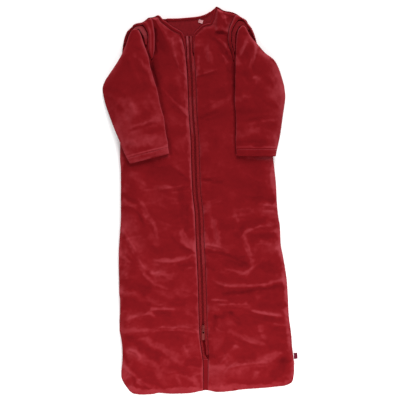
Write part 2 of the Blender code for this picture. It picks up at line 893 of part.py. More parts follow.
def strip(name, table, kind, crown, low=INNER_FACE, per_row=2, across=4):
    """A rounded strip between two edges: x, y of each edge and the height of each."""
    table = np.array(table, float)
    rows = (len(table) - 1) * per_row + 1
    place = np.arange(len(table))
    at = np.linspace(0, len(table) - 1, rows)
    edge = np.column_stack([smooth(at, place, table[:, k]) for k in range(6)])
    points = []
    share = np.linspace(0, 1, across)
    for x0, y0, x1, y1, z0, z1 in edge:
        bulge = crown * (1 - (2 * share - 1) ** 2)
        x = x0 + (x1 - x0) * share
        y = y0 + (y1 - y0) * share
        z = z0 + (z1 - z0) * share + bulge
        points.append(np.column_stack([x, y, z]))
        points.append(np.column_stack([[x1, x0], [y1, y0], [low, low]]))
    ring = across + 2
    points = np.vstack(points)
    faces = []
    for r in range(rows - 1):
        for k in range(ring):
            n = (k + 1) % ring
            faces.append((r * ring + k, r * ring + n, (r + 1) * ring + n, (r + 1) * ring + k))
    faces.append([k for k in range(ring)][::-1])
    faces.append([(rows - 1) * ring + k for k in range(ring)])
    made = add_object(name, points, faces, kind)
    face_out(made)


def zip_strip(name, inner, outer, low_y, high_y, top, kind, count=34):
    """A flat strip along the zip between two distances from its middle."""
    y = np.linspace(low_y, high_y, count)
    middle = zip_middle(y)
    table = np.column_stack([middle + inner(y), y, middle + outer(y), y])
    heights = np.full((count, 2), top)
    strip(name, np.column_stack([table, heights]), kind, 0.0, per_row=1, across=2)


def build_zip():
    """The tapes, the closed teeth and the strip over the seam below the zip."""
    for side, name, index in ((-1, "zip_tape_left", 2), (1, "zip_tape_right", 3)):

        def outer(y, side=side, index=index):
            half = smooth(y, column(ZIP, 0), column(ZIP, index))
            room = np.minimum(half - TAPE_OUTER_GAP, 9.5)
            beside = np.where(y > 338, np.minimum(room, 7.6 if side < 0 else 6.4), room)
            return side * beside

        def inner(y, side=side):
            return side * np.full(len(y), TAPE_INNER)

        zip_strip(name, inner, outer, ZIP_END, ZIP_TOP, TAPE_TOP, "tape")
    closed_low = SLIDER_Y + SLIDER_LENGTH / 2 + SEAM_GAP
    zip_strip(
        "zip_chain",
        lambda y: np.full(len(y), -TEETH_HALF),
        lambda y: np.full(len(y), TEETH_HALF),
        closed_low,
        ZIP_TOP - 3.0,
        TEETH_TOP,
        "teeth",
    )
    hem = float(hem_y(zip_middle(-443.0)))
    half = ZIP[-1][2] - TAPE_OUTER_GAP
    zip_strip(
        "zip_end_strip",
        lambda y: np.full(len(y), -half),
        lambda y: np.full(len(y), half),
        hem + 1.0,
        ZIP_END - SEAM_GAP,
        END_STRIP_HIGH,
        "velour",
        12,
    )


def box(name, low, high, kind, bevel=0.0, segments=2, origin=(0.0, 0.0, 0.0)):
    """A box between two corners, with rounded edges."""
    x, y, z = zip(low, high)
    corners = [(x[i], y[j], z[k]) for k in (0, 1) for j in (0, 1) for i in (0, 1)]
    faces = [(0, 2, 3, 1), (4, 5, 7, 6), (0, 1, 5, 4), (2, 6, 7, 3), (0, 4, 6, 2), (1, 3, 7, 5)]
    made = add_object(name, corners, faces, kind, origin)
    if bevel:
        rounding = made.modifiers.new("edges", "BEVEL")
        rounding.width = bevel * MM
        rounding.segments = segments
        rounding.limit_method = "ANGLE"
    return made


def join_to(base, other):
    """Add another closed solid to a base one, and drop it."""
    union = base.modifiers.new("add " + other.name, "BOOLEAN")
    union.operation = "UNION"
    union.object = other
    other.hide_render = True
    other.display_type = "WIRE"


def build_slider():
    """The slider: a body on the tapes with a bridge that the pull tab hangs in."""
    x = float(zip_middle(np.array([SLIDER_Y]))[0])
    half = SLIDER_LENGTH / 2
    body = box(
        "zip_slider",
        (x - SLIDER_WIDTH / 2, SLIDER_Y - half, SLIDER_LOW),
        (x + SLIDER_WIDTH / 2, SLIDER_Y + half, SLIDER_HIGH),
        "slider",
        1.2,
    )
    reach = BRIDGE_LENGTH / 2
    for number, end in enumerate((-reach, reach - BRIDGE_LEG)):
        leg = box(
            f"bridge leg {number}",
            (x - BRIDGE_WIDTH / 2, SLIDER_Y + end, SLIDER_HIGH - 1.0),
            (x + BRIDGE_WIDTH / 2, SLIDER_Y + end + BRIDGE_LEG, BRIDGE_HIGH),
            "slider",
        )
        join_to(body, leg)
    bar = box(
        "bridge bar",
        (x - BRIDGE_WIDTH / 2, SLIDER_Y - reach, BRIDGE_HIGH - BRIDGE_BAR),
        (x + BRIDGE_WIDTH / 2, SLIDER_Y + reach, BRIDGE_HIGH),
        "slider",
    )
    join_to(body, bar)


def build_tab():
    """The pull tab: an axle under the bridge, two arms beside it and a plate."""
    x = float(zip_middle(np.array([SLIDER_Y]))[0])
    axle_z = (SLIDER_HIGH + BRIDGE_HIGH - BRIDGE_BAR) / 2
    hinge = np.array([x, SLIDER_Y - TAB_AXLE_BEHIND, axle_z])
    outline = [
        (-TAB_WIDTH / 2, -TAB_AXLE / 2),
        (TAB_WIDTH / 2, -TAB_AXLE / 2),
        (TAB_WIDTH / 2, TAB_LENGTH - 3.0),
        (TAB_WIDTH / 2 - 1.2, TAB_LENGTH - 0.8),
        (TAB_WIDTH / 2 - 3.0, TAB_LENGTH),
        (-TAB_WIDTH / 2 + 3.0, TAB_LENGTH),
        (-TAB_WIDTH / 2 + 1.2, TAB_LENGTH - 0.8),
        (-TAB_WIDTH / 2, TAB_LENGTH - 3.0),
    ]
    window = [
        (-TAB_WIDTH / 2 + TAB_ARM, TAB_AXLE / 2),
        (TAB_WIDTH / 2 - TAB_ARM, TAB_AXLE / 2),
        (TAB_WIDTH / 2 - TAB_ARM, TAB_ARM_LENGTH),
        (-TAB_WIDTH / 2 + TAB_ARM, TAB_ARM_LENGTH),
    ]
    pitch = math.radians(TAB_PITCH)

    def place(across, down, up):
        y = -down * math.cos(pitch) - up * math.sin(pitch)
        z = -down * math.sin(pitch) + up * math.cos(pitch)
        return (hinge[0] + across, hinge[1] + y, hinge[2] + z)

    def plate(name, shape, thick):
        count = len(shape)
        points = [place(a, d, -thick / 2) for a, d in shape]
        points += [place(a, d, thick / 2) for a, d in shape]
        faces = [list(range(count))[::-1], [count + k for k in range(count)]]
        for k in range(count):
            n = (k + 1) % count
            faces.append((k, n, count + n, count + k))
        made = add_object(name, points, faces, "slider", tuple(hinge))
        face_out(made)
        return made

    tab = plate("zip_pull_tab", outline, TAB_THICK)
    cutter = plate("tab window", window, TAB_THICK * 3)
    cut = tab.modifiers.new("window", "BOOLEAN")
    cut.operation = "DIFFERENCE"
    cut.object = cutter
    cutter.hide_render = True
    cutter.display_type = "WIRE"


def flat_plate(name, loop, low, high, kind):
    """A flat piece of even thickness over a loop."""
    count = len(loop)
    points = np.vstack(
        [
            np.column_stack([loop, np.full(count, low)]),
            np.column_stack([loop, np.full(count, high)]),
        ]
    )
    faces = [list(range(count))[::-1], [count + k for k in range(count)]]
    for k in range(count):
        n = (k + 1) % count
        faces.append((k, n, count + n, count + k))
    made = add_object(name, points, faces, kind)
    face_out(made)
    return made


def beside(path, first, last):
    """A path's points moved to its left by an amount that is given at each point."""
    before = np.vstack([path[:1], path[:-1]])
    after = np.vstack([path[1:], path[-1:]])
    one = path - before
    two = after - path
    one[0], two[-1] = two[0], one[-1]
    one /= np.linalg.norm(one, axis=1)[:, None]
    two /= np.linalg.norm(two, axis=1)[:, None]
    way = one + two
    way /= np.linalg.norm(way, axis=1)[:, None]
    miter = 1 / np.clip((way * one).sum(axis=1), 0.7, 1)
    normal = np.column_stack([-way[:, 1], way[:, 0]]) * miter[:, None]
    return path + normal * first[:, None], path + normal * last[:, None]


def neck_edge(front):
    """The points of a front panel's edge from the shoulder down the neckline and the zip."""
    plan = front.grid(PANEL_COLUMNS, PANEL_ROWS)
    across = plan[-1] if front.side < 0 else plan[-1, ::-1]
    down = plan[-2::-1, -1] if front.side < 0 else plan[-2::-1, 0]
    tip = int(np.argmax(across[:, 1])) + 1
    path = np.vstack([across[tip:], down[down[:, 1] > BINDING_LOW]])
    return path


def binding_edges(front, table, gap):
    """Both edges of a front's neck binding, and the height of each."""
    path = neck_edge(front)
    steps = np.linalg.norm(np.diff(path, axis=0), axis=1)
    share = np.concatenate([[0.0], np.cumsum(steps)]) / steps.sum()
    width, low, high = (smooth(share, column(table, 0), column(table, k)) for k in (1, 2, 3))
    turn = 1 if front.side < 0 else -1
    near, far = beside(path, turn * np.full(len(path), gap), turn * (gap + width))
    return near, far, low, high


def build_binding(name, front, table):
    """A front's neck binding, rolled over the panel's edge."""
    near, far, low, high = binding_edges(front, table, SEAM_GAP)
    strip(name, np.column_stack([near, far, low, high]), "velour", 0.9, per_row=1)


def build_lining(left, right):
    """The inner side of the back that shows within the neck."""
    down = binding_edges(left, BINDING_LEFT, 2 * SEAM_GAP)[1]
    up = binding_edges(right, BINDING_RIGHT, 2 * SEAM_GAP)[1][::-1]
    back = np.array(BINDING_BACK, float)[::-1, 0:2] - (0.0, 2 * SEAM_GAP)
    down = down[(down[:, 1] > ZIP_TOP + 1.5) & (down[:, 1] < 412)]
    up = up[(up[:, 1] > ZIP_TOP + 1.5) & (up[:, 1] < 430)]
    loop = np.vstack([down, up, back])
    flat_plate("back_neck_lining", loop, INNER_FACE, INNER_FACE + LINING_THICK, "lining")


def build_label(name, size, low, kind):
    """A small flat loop of ribbon."""
    half = np.array([size["width"], size["length"]]) / 2
    a = math.radians(size["turn"])
    turn = np.array([[math.cos(a), -math.sin(a)], [math.sin(a), math.cos(a)]])
    corners = np.array([(-1, -1), (1, -1), (1, 1), (-1, 1)], float) * half
    loop = corners @ turn.T + np.array([size["x"], size["y"]])
    flat_plate(name, loop, low, low + LABEL_THICK, kind)


def build():
    """Make every piece of the sleep sack."""
    clear_scene()
    body = body_loop()
    left, right = Front(-1), Front(1)
    fronts = [left.loop(), right.loop()]
    build_back()
    build_front("front_panel_left", left)
    build_front("front_panel_right", right)
    build_lining(left, right)
    build_binding("neck_binding_left", left, BINDING_LEFT)
    build_binding("neck_binding_right", right, BINDING_RIGHT)
    strip("neck_binding_back", BINDING_BACK, "velour", 0.6)
    strip("armhole_rim_left", RIM_LEFT, "velour", 2.0, across=5)
    strip("armhole_rim_right", RIM_RIGHT, "velour", 1.2)
    strip("armhole_tape_left", TAPE_LEFT, "tape", 0.4)
    strip("armhole_tape_right", TAPE_RIGHT, "tape", 0.4)
    build_sleeve("sleeve_left", "cuff_left", SLEEVE_LEFT, CUFF_LEFT_END, fronts, body)
    build_sleeve("sleeve_right", "cuff_right", SLEEVE_RIGHT, CUFF_RIGHT_END, fronts, body)
    build_zip()
    build_slider()
    build_tab()
    tag_low = INNER_FACE + LINING_THICK + SEAM_GAP
    build_label("size_tag", SIZE_TAG, tag_low, "tag")
    build_label("side_label", SIDE_LABEL, BACK_THICK - 0.6, "label")


build()
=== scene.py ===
# %% [markdown]
# # A velour sleep sack, laid out flat
# The real thing is a padded bag with arms for a baby. A maker cuts a back, two fronts and two
# sleeves from velour, pads them, and sews them up with a long zip in the middle. It could be made
# here with a cloth simulation, but then each crease would fall where it likes. So each piece is a
# surface that numpy works out from the maker's own sizes, and the creases are laid in one by one.

# %% The imported model as a fixed frame
import json
import math

import bpy
import numpy as np
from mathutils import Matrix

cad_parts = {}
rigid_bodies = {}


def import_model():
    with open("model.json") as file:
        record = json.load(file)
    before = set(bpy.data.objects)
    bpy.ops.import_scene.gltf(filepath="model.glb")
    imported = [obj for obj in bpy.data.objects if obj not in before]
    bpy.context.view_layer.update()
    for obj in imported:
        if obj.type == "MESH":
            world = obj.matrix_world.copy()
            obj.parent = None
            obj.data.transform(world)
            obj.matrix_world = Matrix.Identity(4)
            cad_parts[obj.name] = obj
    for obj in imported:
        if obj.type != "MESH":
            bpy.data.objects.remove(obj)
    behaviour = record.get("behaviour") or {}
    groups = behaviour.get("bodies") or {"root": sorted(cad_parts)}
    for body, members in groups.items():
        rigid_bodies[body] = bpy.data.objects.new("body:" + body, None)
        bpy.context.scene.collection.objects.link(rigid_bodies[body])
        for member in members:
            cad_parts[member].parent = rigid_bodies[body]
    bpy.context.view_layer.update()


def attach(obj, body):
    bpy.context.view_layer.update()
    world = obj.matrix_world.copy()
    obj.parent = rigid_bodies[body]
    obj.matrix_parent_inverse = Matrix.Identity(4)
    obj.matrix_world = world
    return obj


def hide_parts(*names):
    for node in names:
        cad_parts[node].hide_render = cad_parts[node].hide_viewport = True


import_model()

# %% [markdown]
# ## Curves and distances
# A pattern cutter works with a few measured points and a flexible ruler. The ruler here is a
# monotone cubic, because it never swings out beyond the points. Distances to an edge decide how
# high the wadding stands, so they are worked out for a whole sheet of points at once.

# %% The flexible ruler
def smooth(at, places, values):
    """A curve through the values: cubic pieces whose slopes are the harmonic mean of the chords."""
    x, y = np.asarray(places, float), np.asarray(values, float)
    if x[0] > x[-1]:
        x, y = x[::-1], y[::-1]
    run = np.diff(x)
    rise = np.diff(y) / run
    slope = np.empty_like(y)
    slope[0], slope[-1] = rise[0], rise[-1]
    same = rise[:-1] * rise[1:] > 0
    heavy, light = 2 * run[1:] + run[:-1], run[1:] + 2 * run[:-1]
    safe_a, safe_b = np.where(same, rise[:-1], 1.0), np.where(same, rise[1:], 1.0)
    slope[1:-1] = np.where(same, (heavy + light) / (heavy / safe_a + light / safe_b), 0.0)
    at = np.clip(at, x[0], x[-1])
    k = np.clip(np.searchsorted(x, at) - 1, 0, len(run) - 1)
    t = (at - x[k]) / run[k]
    a = y[k] * (1 + 2 * t) * (1 - t) ** 2 + run[k] * slope[k] * t * (1 - t) ** 2
    b = y[k + 1] * t * t * (3 - 2 * t) + run[k] * slope[k + 1] * t * t * (t - 1)
    return a + b


def smooth_column(table, at, index=1):
    """A column of a table as a curve over the table's first column."""
    return smooth(at, [row[0] for row in table], [row[index] for row in table])


def smooth_rows(at, places, table):
    """The curves through all columns of a table, side by side."""
    return np.column_stack([smooth(at, places, values) for values in table.T])


def step(value, low, high):
    """0 below low, 1 above high, and an S-curve (3t² - 2t³) between them."""
    t = np.clip((value - low) / (high - low), 0, 1)
    return t * t * (3 - 2 * t)


def run_along(points):
    """The length of a path from its first point to each of its points."""
    return np.concatenate([[0.0], np.cumsum(np.linalg.norm(np.diff(points, axis=0), axis=1))])


def along(points, count):
    """A rounded path through the points, taken at count places that are evenly apart."""
    points = np.asarray(points, float)
    place = run_along(points[:, :2])
    return smooth_rows(np.linspace(0, place[-1], count), place, points)


def spread(count, ends):
    """Places from 0 to 1: even ones mixed with half a cosine wave, which crowds both ends."""
    t = np.linspace(0, 1, count)
    return (1 - ends) * t + ends * (0.5 - 0.5 * np.cos(math.pi * t))


# %% Distances to an edge
CHUNK = 3000


def chunks(points):
    """The points in parts, so that a table of each point against each step stays small."""
    return np.array_split(points, max(1, len(points) // CHUNK))


def nearest(points, path):
    """Distance of each point to an open path, and how far along the path its nearest place is."""
    start, way = path[:-1], np.diff(path, axis=0)
    square = np.maximum((way**2).sum(axis=1), 1e-9)
    before = np.concatenate([[0.0], np.cumsum(np.sqrt(square))])[:-1]
    found = []
    for part in chunks(points):
        rel = part[:, None, :] - start[None]
        share = np.clip((rel * way[None]).sum(axis=2) / square[None], 0, 1)
        far = ((rel - share[..., None] * way[None]) ** 2).sum(axis=2)
        best = far.argmin(axis=1)
        row = np.arange(len(part))
        place = before[best] + share[row, best] * np.sqrt(square[best])
        found.append(np.column_stack([np.sqrt(far[row, best]), place]))
    return np.vstack(found).T


def signed(points, loop):
    """Distance to a closed loop, positive inside it: a ray to the right crosses it oddly often."""
    a, b = loop, np.roll(loop, -1, axis=0)
    slant = (b[:, 0] - a[:, 0]) / np.where(b[:, 1] == a[:, 1], 1e-9, b[:, 1] - a[:, 1])
    within = []
    for part in chunks(points):
        x, y = part[:, :1], part[:, 1:2]
        crosses = (a[:, 1][None] > y) != (b[:, 1][None] > y)
        at = a[:, 0][None] + (y - a[:, 1][None]) * slant[None]
        within.append((crosses & (x < at)).sum(axis=1) % 2 == 1)
    far = nearest(points, np.vstack([loop, loop[:1]]))[0]
    return np.where(np.concatenate(within), 1, -1) * far


print("ruler check, 2.5 between 2 and 3:", smooth(2.5, [0, 2, 3, 5], [0, 2, 3, 5]))

# %% [markdown]
# ## From numbers to meshes
# Sheets of cloth are grids of points, strips and sleeves are rings carried along a path. Each mesh
# is closed, and the sign of its volume says whether its faces look out. A padded sheet here has a
# front face, a back face and a wall round the rim.

# %% Grids, rings and faces
def grid_quads(rows, columns, first=0, ring=False):
    """Faces of a grid of points: each point with its next in the row and both above them."""
    index = first + np.arange(rows * columns).reshape(rows, columns)
    if ring:
        index = np.hstack([index, index[:, :1]])
    corners = [index[:-1, :-1], index[:-1, 1:], index[1:, 1:], index[1:, :-1]]
    return np.stack(corners, axis=-1).reshape(-1, 4)


def rim_of(grid):
    """What lies round the rim of a grid, anticlockwise, each once."""
    return np.concatenate([grid[0, :-1], grid[:-1, -1], grid[-1, :0:-1], grid[:0:-1, 0]])


def plate(top, low):
    """Points and faces of a closed sheet between two grids of the same size."""
    rows, columns = top.shape[:2]
    count = rows * columns
    ring = rim_of(np.arange(count).reshape(rows, columns))
    following = np.roll(ring, -1)
    wall = np.stack([ring, ring + count, following + count, following], axis=1)
    faces = [grid_quads(rows, columns), grid_quads(rows, columns, count)[:, ::-1], wall]
    return np.vstack([top.reshape(-1, 3), low.reshape(-1, 3)]), faces


def left_of(way):
    """Ways turned a quarter to their left: (-y, x), each made 1 long."""
    way = way / np.maximum(np.linalg.norm(way, axis=1), 1e-9)[:, None]
    return np.column_stack([-way[:, 1], way[:, 0]])


def inside_by(loop, amount):
    """An anticlockwise loop moved to its inner side: each point along the normal of its chord."""
    return loop + left_of(np.roll(loop, -1, axis=0) - np.roll(loop, 1, axis=0)) * amount


def pad(top, level, tuck):
    """Points and faces of a grid whose rim goes down to a level, tucked in, with a flat face."""
    rows, columns = top.shape[:2]
    rim = inside_by(rim_of(top[..., :2]), tuck)
    low = np.column_stack([rim, np.full(len(rim), level)])
    ring = rim_of(np.arange(rows * columns).reshape(rows, columns))
    under = rows * columns + np.arange(len(ring))
    wall = np.stack([ring, under, np.roll(under, -1), np.roll(ring, -1)], axis=1)
    return np.vstack([top.reshape(-1, 3), low]), [grid_quads(rows, columns), wall, under[None, ::-1]]


def hose(rings):
    """Points and faces of rings joined in a row, and closed by a face at each end."""
    rows, around = rings.shape[:2]
    first = np.arange(around)[None]
    last = (rows - 1) * around + first
    return rings.reshape(-1, 3), [grid_quads(rows, around, ring=True), first[:, ::-1], last]


def hoop(rings):
    """Points and faces of rings joined in a row whose last one meets the first again."""
    rows, around = rings.shape[:2]
    first = np.arange(around)
    last = (rows - 1) * around + first
    close = np.stack([last, np.roll(last, -1), np.roll(first, -1), first], axis=1)
    return rings.reshape(-1, 3), [grid_quads(rows, around, ring=True), close]


def volume(points, faces):
    """Six times the volume: the sum over all fans of the triple product of their corners."""
    total = 0.0
    for group in faces:
        for k in range(1, group.shape[1] - 1):
            a, b, c = points[group[:, 0]], points[group[:, k]], points[group[:, k + 1]]
            total += (a * np.cross(b, c)).sum()
    return total


print("faces of a grid of 3 by 3 points:", len(grid_quads(3, 3)))

# %% One finished piece
MM = 0.001
pieces = {}


def add_object(name, data):
    """An object of this mesh, lamp or camera, linked to the scene."""
    made = bpy.data.objects.new(name, data)
    bpy.context.scene.collection.objects.link(made)
    return made


def at_points(mesh, name, values):
    """A number kept at each point of a mesh."""
    store = mesh.attributes.new(name, "FLOAT", "POINT")
    store.data.foreach_set("value", values.astype(np.float32))


def piece(name, shape, finish, slot, body="garment", chart=None, crisp=50, brushed_and_painted_light=()):
    """A mesh object from points in millimetres, that rides on a body and has a material.

    The pile of velour lies towards the hem, so cloth that leans towards the neck shows the side of
    its pile, and so does cloth that falls away steeply. On velour a point attribute also paints light
    and shade: the normal's Y, plus 0.12 times its X, plus 1.2 times the square of its level part, so
    cloth that faces the key light beyond the neck or falls away steeply is painted lighter, and cloth
    that faces the hem is painted darker. The brushed marks are brush marks on the pile together with
    painted light and shade. A chart gives each point its place on the cloth, in millimetres, for the
    weave.
    """
    points, faces = shape
    if volume(points, faces) < 0:
        faces = [group[:, ::-1] for group in faces]
    sizes = np.concatenate([np.full(len(group), group.shape[1]) for group in faces])
    corners = np.concatenate([group.ravel() for group in faces])
    mesh = bpy.data.meshes.new(name)
    mesh.vertices.add(len(points))
    mesh.vertices.foreach_set("co", (points * MM).astype(np.float32).ravel())
    mesh.loops.add(len(corners))
    mesh.loops.foreach_set("vertex_index", corners.astype(np.int32))
    mesh.polygons.add(len(sizes))
    mesh.polygons.foreach_set("loop_start", (np.cumsum(sizes) - sizes).astype(np.int32))
    mesh.update(calc_edges=True)
    mesh.validate()
    mesh.shade_smooth()
    mesh.set_sharp_from_angle(angle=math.radians(crisp))
    # Painted light and shade: the lean of each point's normal towards the key light beyond the neck,
    # and its steepness.
    if slot == "velour":
        normals = np.empty(len(points) * 3, np.float32)
        mesh.vertex_normals.foreach_get("vector", normals)
        x, y = normals[0::3], normals[1::3]
        at_points(mesh, "pile_and_painted_light", y + 0.12 * x + 1.2 * (x * x + y * y))
    if len(brushed_and_painted_light):
        at_points(mesh, "brushed_and_painted_light", strokes(points[:, :2], brushed_and_painted_light))
    if chart is not None:
        store = mesh.uv_layers.new(name="chart")
        store.data.foreach_set("uv", (chart[corners] * MM).astype(np.float32).ravel())
    mesh.materials.append(finish)
    made = add_object(name, mesh)
    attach(made, body)
    pieces[name] = sum(len(group) * (group.shape[1] - 2) for group in faces)
    print(f"{name}: {pieces[name]} triangles")
    return made


# %% [markdown]
# ## Materials: building blocks
# Velour is a knitted ground with a short cut pile. The pile drinks light when seen straight on and
# glows where it is seen from the side, and wherever a hand has brushed it, it is a shade lighter or
# darker. That could be thousands of hairs, but at this length a sheen and a fine grain say the same.
# Light and shade are also painted into the colour: lighter where the cloth faces the key light or
# falls away steeply, painted highlights along hems, cuffs and tape ends, and painted shade in gaps.
# Lining, tapes and ribbons share a weave, and thread, coil and slider an uneven surface. Each of
# these effects is a node group, made once and placed in every finish with values of its own.

# %% Node helpers
def feed(tree, socket, value):
    """Another socket is linked to this one, and a value is stored in it."""
    if isinstance(value, bpy.types.NodeSocket):
        tree.links.new(value, socket)
    else:
        socket.default_value = value


def add_node(tree, kind, **inputs):
    """A node whose inputs are fed by name, with _ for a space."""
    made = tree.nodes.new(kind)
    for name, value in inputs.items():
        feed(tree, made.inputs[name.replace("_", " ")], value)
    return made


def sums(tree, operation, first, second):
    """One step of arithmetic on two sockets or numbers."""
    made = tree.nodes.new("ShaderNodeMath")
    made.operation = operation
    feed(tree, made.inputs[0], first)
    feed(tree, made.inputs[1], second)
    return made.outputs[0]


def weighted(tree, total, terms):
    """A start value plus each socket times its weight."""
    for value, weight in terms:
        total = sums(tree, "ADD", total, sums(tree, "MULTIPLY", value, weight))
    return total


def new_group(name, inputs, outputs):
    """A shader node group with named sockets: (name, kind, value) each."""
    group = bpy.data.node_groups.new(name, "ShaderNodeTree")
    for label, kind, value in inputs:
        made = group.interface.new_socket(label, in_out="INPUT", socket_type=kind)
        made.default_value = value
    for label, kind in outputs:
        group.interface.new_socket(label, in_out="OUTPUT", socket_type=kind)
    return group, group.nodes.new("NodeGroupInput").outputs, group.nodes.new("NodeGroupOutput")


def noise(tree, scale, rough):
    """A noise texture's value where a point is on its object: scale is waves per metre."""
    place = tree.nodes.new("ShaderNodeTexCoord").outputs["Object"]
    made = add_node(tree, "ShaderNodeTexNoise", Vector=place, Scale=scale, Detail=3.0, Roughness=rough)
    return made.outputs["Fac"]


def mixed(tree, share, first, second):
    """A blend of two colours by a share from 0 to 1."""
    mix = tree.nodes.new("ShaderNodeMix")
    mix.data_type = "RGBA"
    for number, value in ((0, share), (6, first), (7, second)):
        feed(tree, mix.inputs[number], value)
    return mix.outputs[2]


print("node groups so far:", len(bpy.data.node_groups))

# %% The nap of the velour, with painted light and shade, as a node group
FLOAT, COLOUR, VECTOR = "NodeSocketFloat", "NodeSocketColor", "NodeSocketVector"
BLACK, WHITE = (0, 0, 0, 1), (1, 1, 1, 1)
TWO_SHADES = [("Deep", COLOUR, BLACK), ("Bright", COLOUR, WHITE)]


def nap_and_painted_light_group():
    """Shade and surface of a short pile: blotches, brush marks and grain, with painted light and shade.

    The lean is painted light and shade: lighter where the cloth faces the key light beyond the neck
    or falls away steeply, darker where it faces the hem. The brushed marks are brush marks together
    with painted light and shade. The shade from Deep to Bright is 0.62 plus each of them by its weight,
    and where the lean, the brushed marks and the blotches add up, an S-curve takes it on to a painted
    highlight colour.
    """
    group, given, out = new_group(
        "soft nap",
        TWO_SHADES + [
            ("Shine", COLOUR, WHITE),
            ("Lean_and_painted_light", FLOAT, 0.0),
            ("Brushed_and_painted_light", FLOAT, 0.0),
            ("Pile", FLOAT, 0.0004),
        ],
        [("Colour", COLOUR), ("Normal", VECTOR)],
    )
    blotch, brush, grain = (noise(group, waves, 0.6) for waves in (21.0, 95.0, 900.0))
    blotch, brush, fine = (sums(group, "SUBTRACT", value, 0.5) for value in (blotch, brush, grain))
    lean, brushed_and_painted_light = given["Lean_and_painted_light"], given["Brushed_and_painted_light"]
    terms = [(blotch, 0.32), (brush, 0.24), (fine, 0.25), (lean, 0.24), (brushed_and_painted_light, 0.13)]
    shade = weighted(group, 0.62, terms)
    dark = mixed(group, shade, given["Deep"], given["Bright"])
    # A painted highlight: where the lean, the marks and the blotches add up, the colour turns to the
    # painted highlight colour.
    painted_highlight_share = sums(group, "MULTIPLY", lean, 0.75)
    painted_highlight_share = weighted(group, painted_highlight_share, [(brush, 0.35), (blotch, 0.42), (brushed_and_painted_light, 0.28)])
    edge = add_node(group, "ShaderNodeMapRange", Value=painted_highlight_share, From_Min=0.05, From_Max=0.95)
    edge.interpolation_type = "SMOOTHSTEP"
    feed(group, out.inputs["Colour"], mixed(group, edge.outputs["Result"], dark, given["Shine"]))
    height = weighted(group, grain, [(brush, 1.5)])
    bump = add_node(group, "ShaderNodeBump", Strength=0.5, Height=height, Distance=given["Pile"])
    feed(group, out.inputs["Normal"], bump.outputs["Normal"])
    return group


nap_and_painted_light = nap_and_painted_light_group()
print("node group:", nap_and_painted_light.name, [s.name for s in nap_and_painted_light.interface.items_tree])

# %% The weave and the uneven surface as node groups
def weave_group():
    """Two sets of waves over a chart make threads that stand up: sin(turn * (x + slant * y)) and
    0.6 sin(turn * (y - slant * x)).

    Where the painted light and shade input is below 0 the cloth is painted darker, and above 0 it turns
    to the painted highlight colour.
    """
    group, given, out = new_group(
        "fine weave",
        TWO_SHADES + [
            ("Worn", COLOUR, WHITE),
            ("Chart", VECTOR, (0, 0, 0)),
            ("Turn", FLOAT, 7000.0),
            ("Slant", FLOAT, 1.0),
            ("Painted_light_and_shade", FLOAT, 0.0),
        ],
        [("Colour", COLOUR), ("Height", FLOAT)],
    )
    split = add_node(group, "ShaderNodeSeparateXYZ", Vector=given["Chart"])
    x, y = split.outputs["X"], split.outputs["Y"]
    first = weighted(group, x, [(y, given["Slant"])])
    second = sums(group, "SUBTRACT", y, sums(group, "MULTIPLY", x, given["Slant"]))
    threads = sums(group, "SINE", sums(group, "MULTIPLY", first, given["Turn"]), 0.0)
    picks = sums(group, "SINE", sums(group, "MULTIPLY", second, given["Turn"]), 0.0)
    height = weighted(group, threads, [(picks, 0.6)])
    shade = weighted(group, noise(group, 240.0, 0.55), [(height, 0.22), (given["Painted_light_and_shade"], 0.5)])
    colour = mixed(group, shade, given["Deep"], given["Bright"])
    feed(group, out.inputs["Colour"], mixed(group, given["Painted_light_and_shade"], colour, given["Worn"]))
    feed(group, out.inputs["Height"], height)
    return group


def uneven_group():
    """Noise that shifts the colour between two shades, and the roughness by an eighth each way."""
    group, given, out = new_group(
        "uneven surface",
        TWO_SHADES + [
            ("Scale", FLOAT, 300.0),
            ("Middle", FLOAT, 0.5),
        ],
        [("Colour", COLOUR), ("Roughness", FLOAT), ("Height", FLOAT)],
    )
    uneven = noise(group, given["Scale"], 0.55)
    rough = weighted(group, given["Middle"], [(sums(group, "SUBTRACT", uneven, 0.5), 0.25)])
    feed(group, out.inputs["Colour"], mixed(group, uneven, given["Deep"], given["Bright"]))
    feed(group, out.inputs["Roughness"], rough)
    feed(group, out.inputs["Height"], uneven)
    return group


weave, unevenness = weave_group(), uneven_group()
print("node groups:", len(bpy.data.node_groups))

# %% [markdown]
# ## Cloth materials
# Everything that is the same all over the cloth, such as its sheen, is set on the shader itself.
# The group only brings what changes from place to place.

# %% Velour
def blank_material(name, **numbers):
    """A material with only its Principled shader, set by name with _ for a space, and its tree."""
    made = bpy.data.materials.new(name)
    made.use_nodes = True
    shader = made.node_tree.nodes["Principled BSDF"]
    for label, value in numbers.items():
        shader.inputs[label.replace("_", " ")].default_value = value
    return made, made.node_tree, shader


def placed_group(tree, group, shader, **values):
    """A group placed in a material with its own values, whose colour feeds the shader."""
    made = tree.nodes.new("ShaderNodeGroup")
    made.node_tree = group
    for label, value in values.items():
        made.inputs[label].default_value = (*value, 1) if isinstance(value, tuple) else value
    tree.links.new(made.outputs["Colour"], shader.inputs["Base Color"])
    return made


def read_attribute(tree, attribute, socket):
    """Feeds a number that the mesh keeps at each point to a socket."""
    reader = tree.nodes.new("ShaderNodeAttribute")
    reader.attribute_name = attribute
    tree.links.new(reader.outputs["Fac"], socket)


def raised(tree, shader, height, strength, distance):
    """A bump of this height under the shader."""
    bump = add_node(tree, "ShaderNodeBump", Strength=strength, Distance=distance, Height=height)
    tree.links.new(bump.outputs["Normal"], shader.inputs["Normal"])


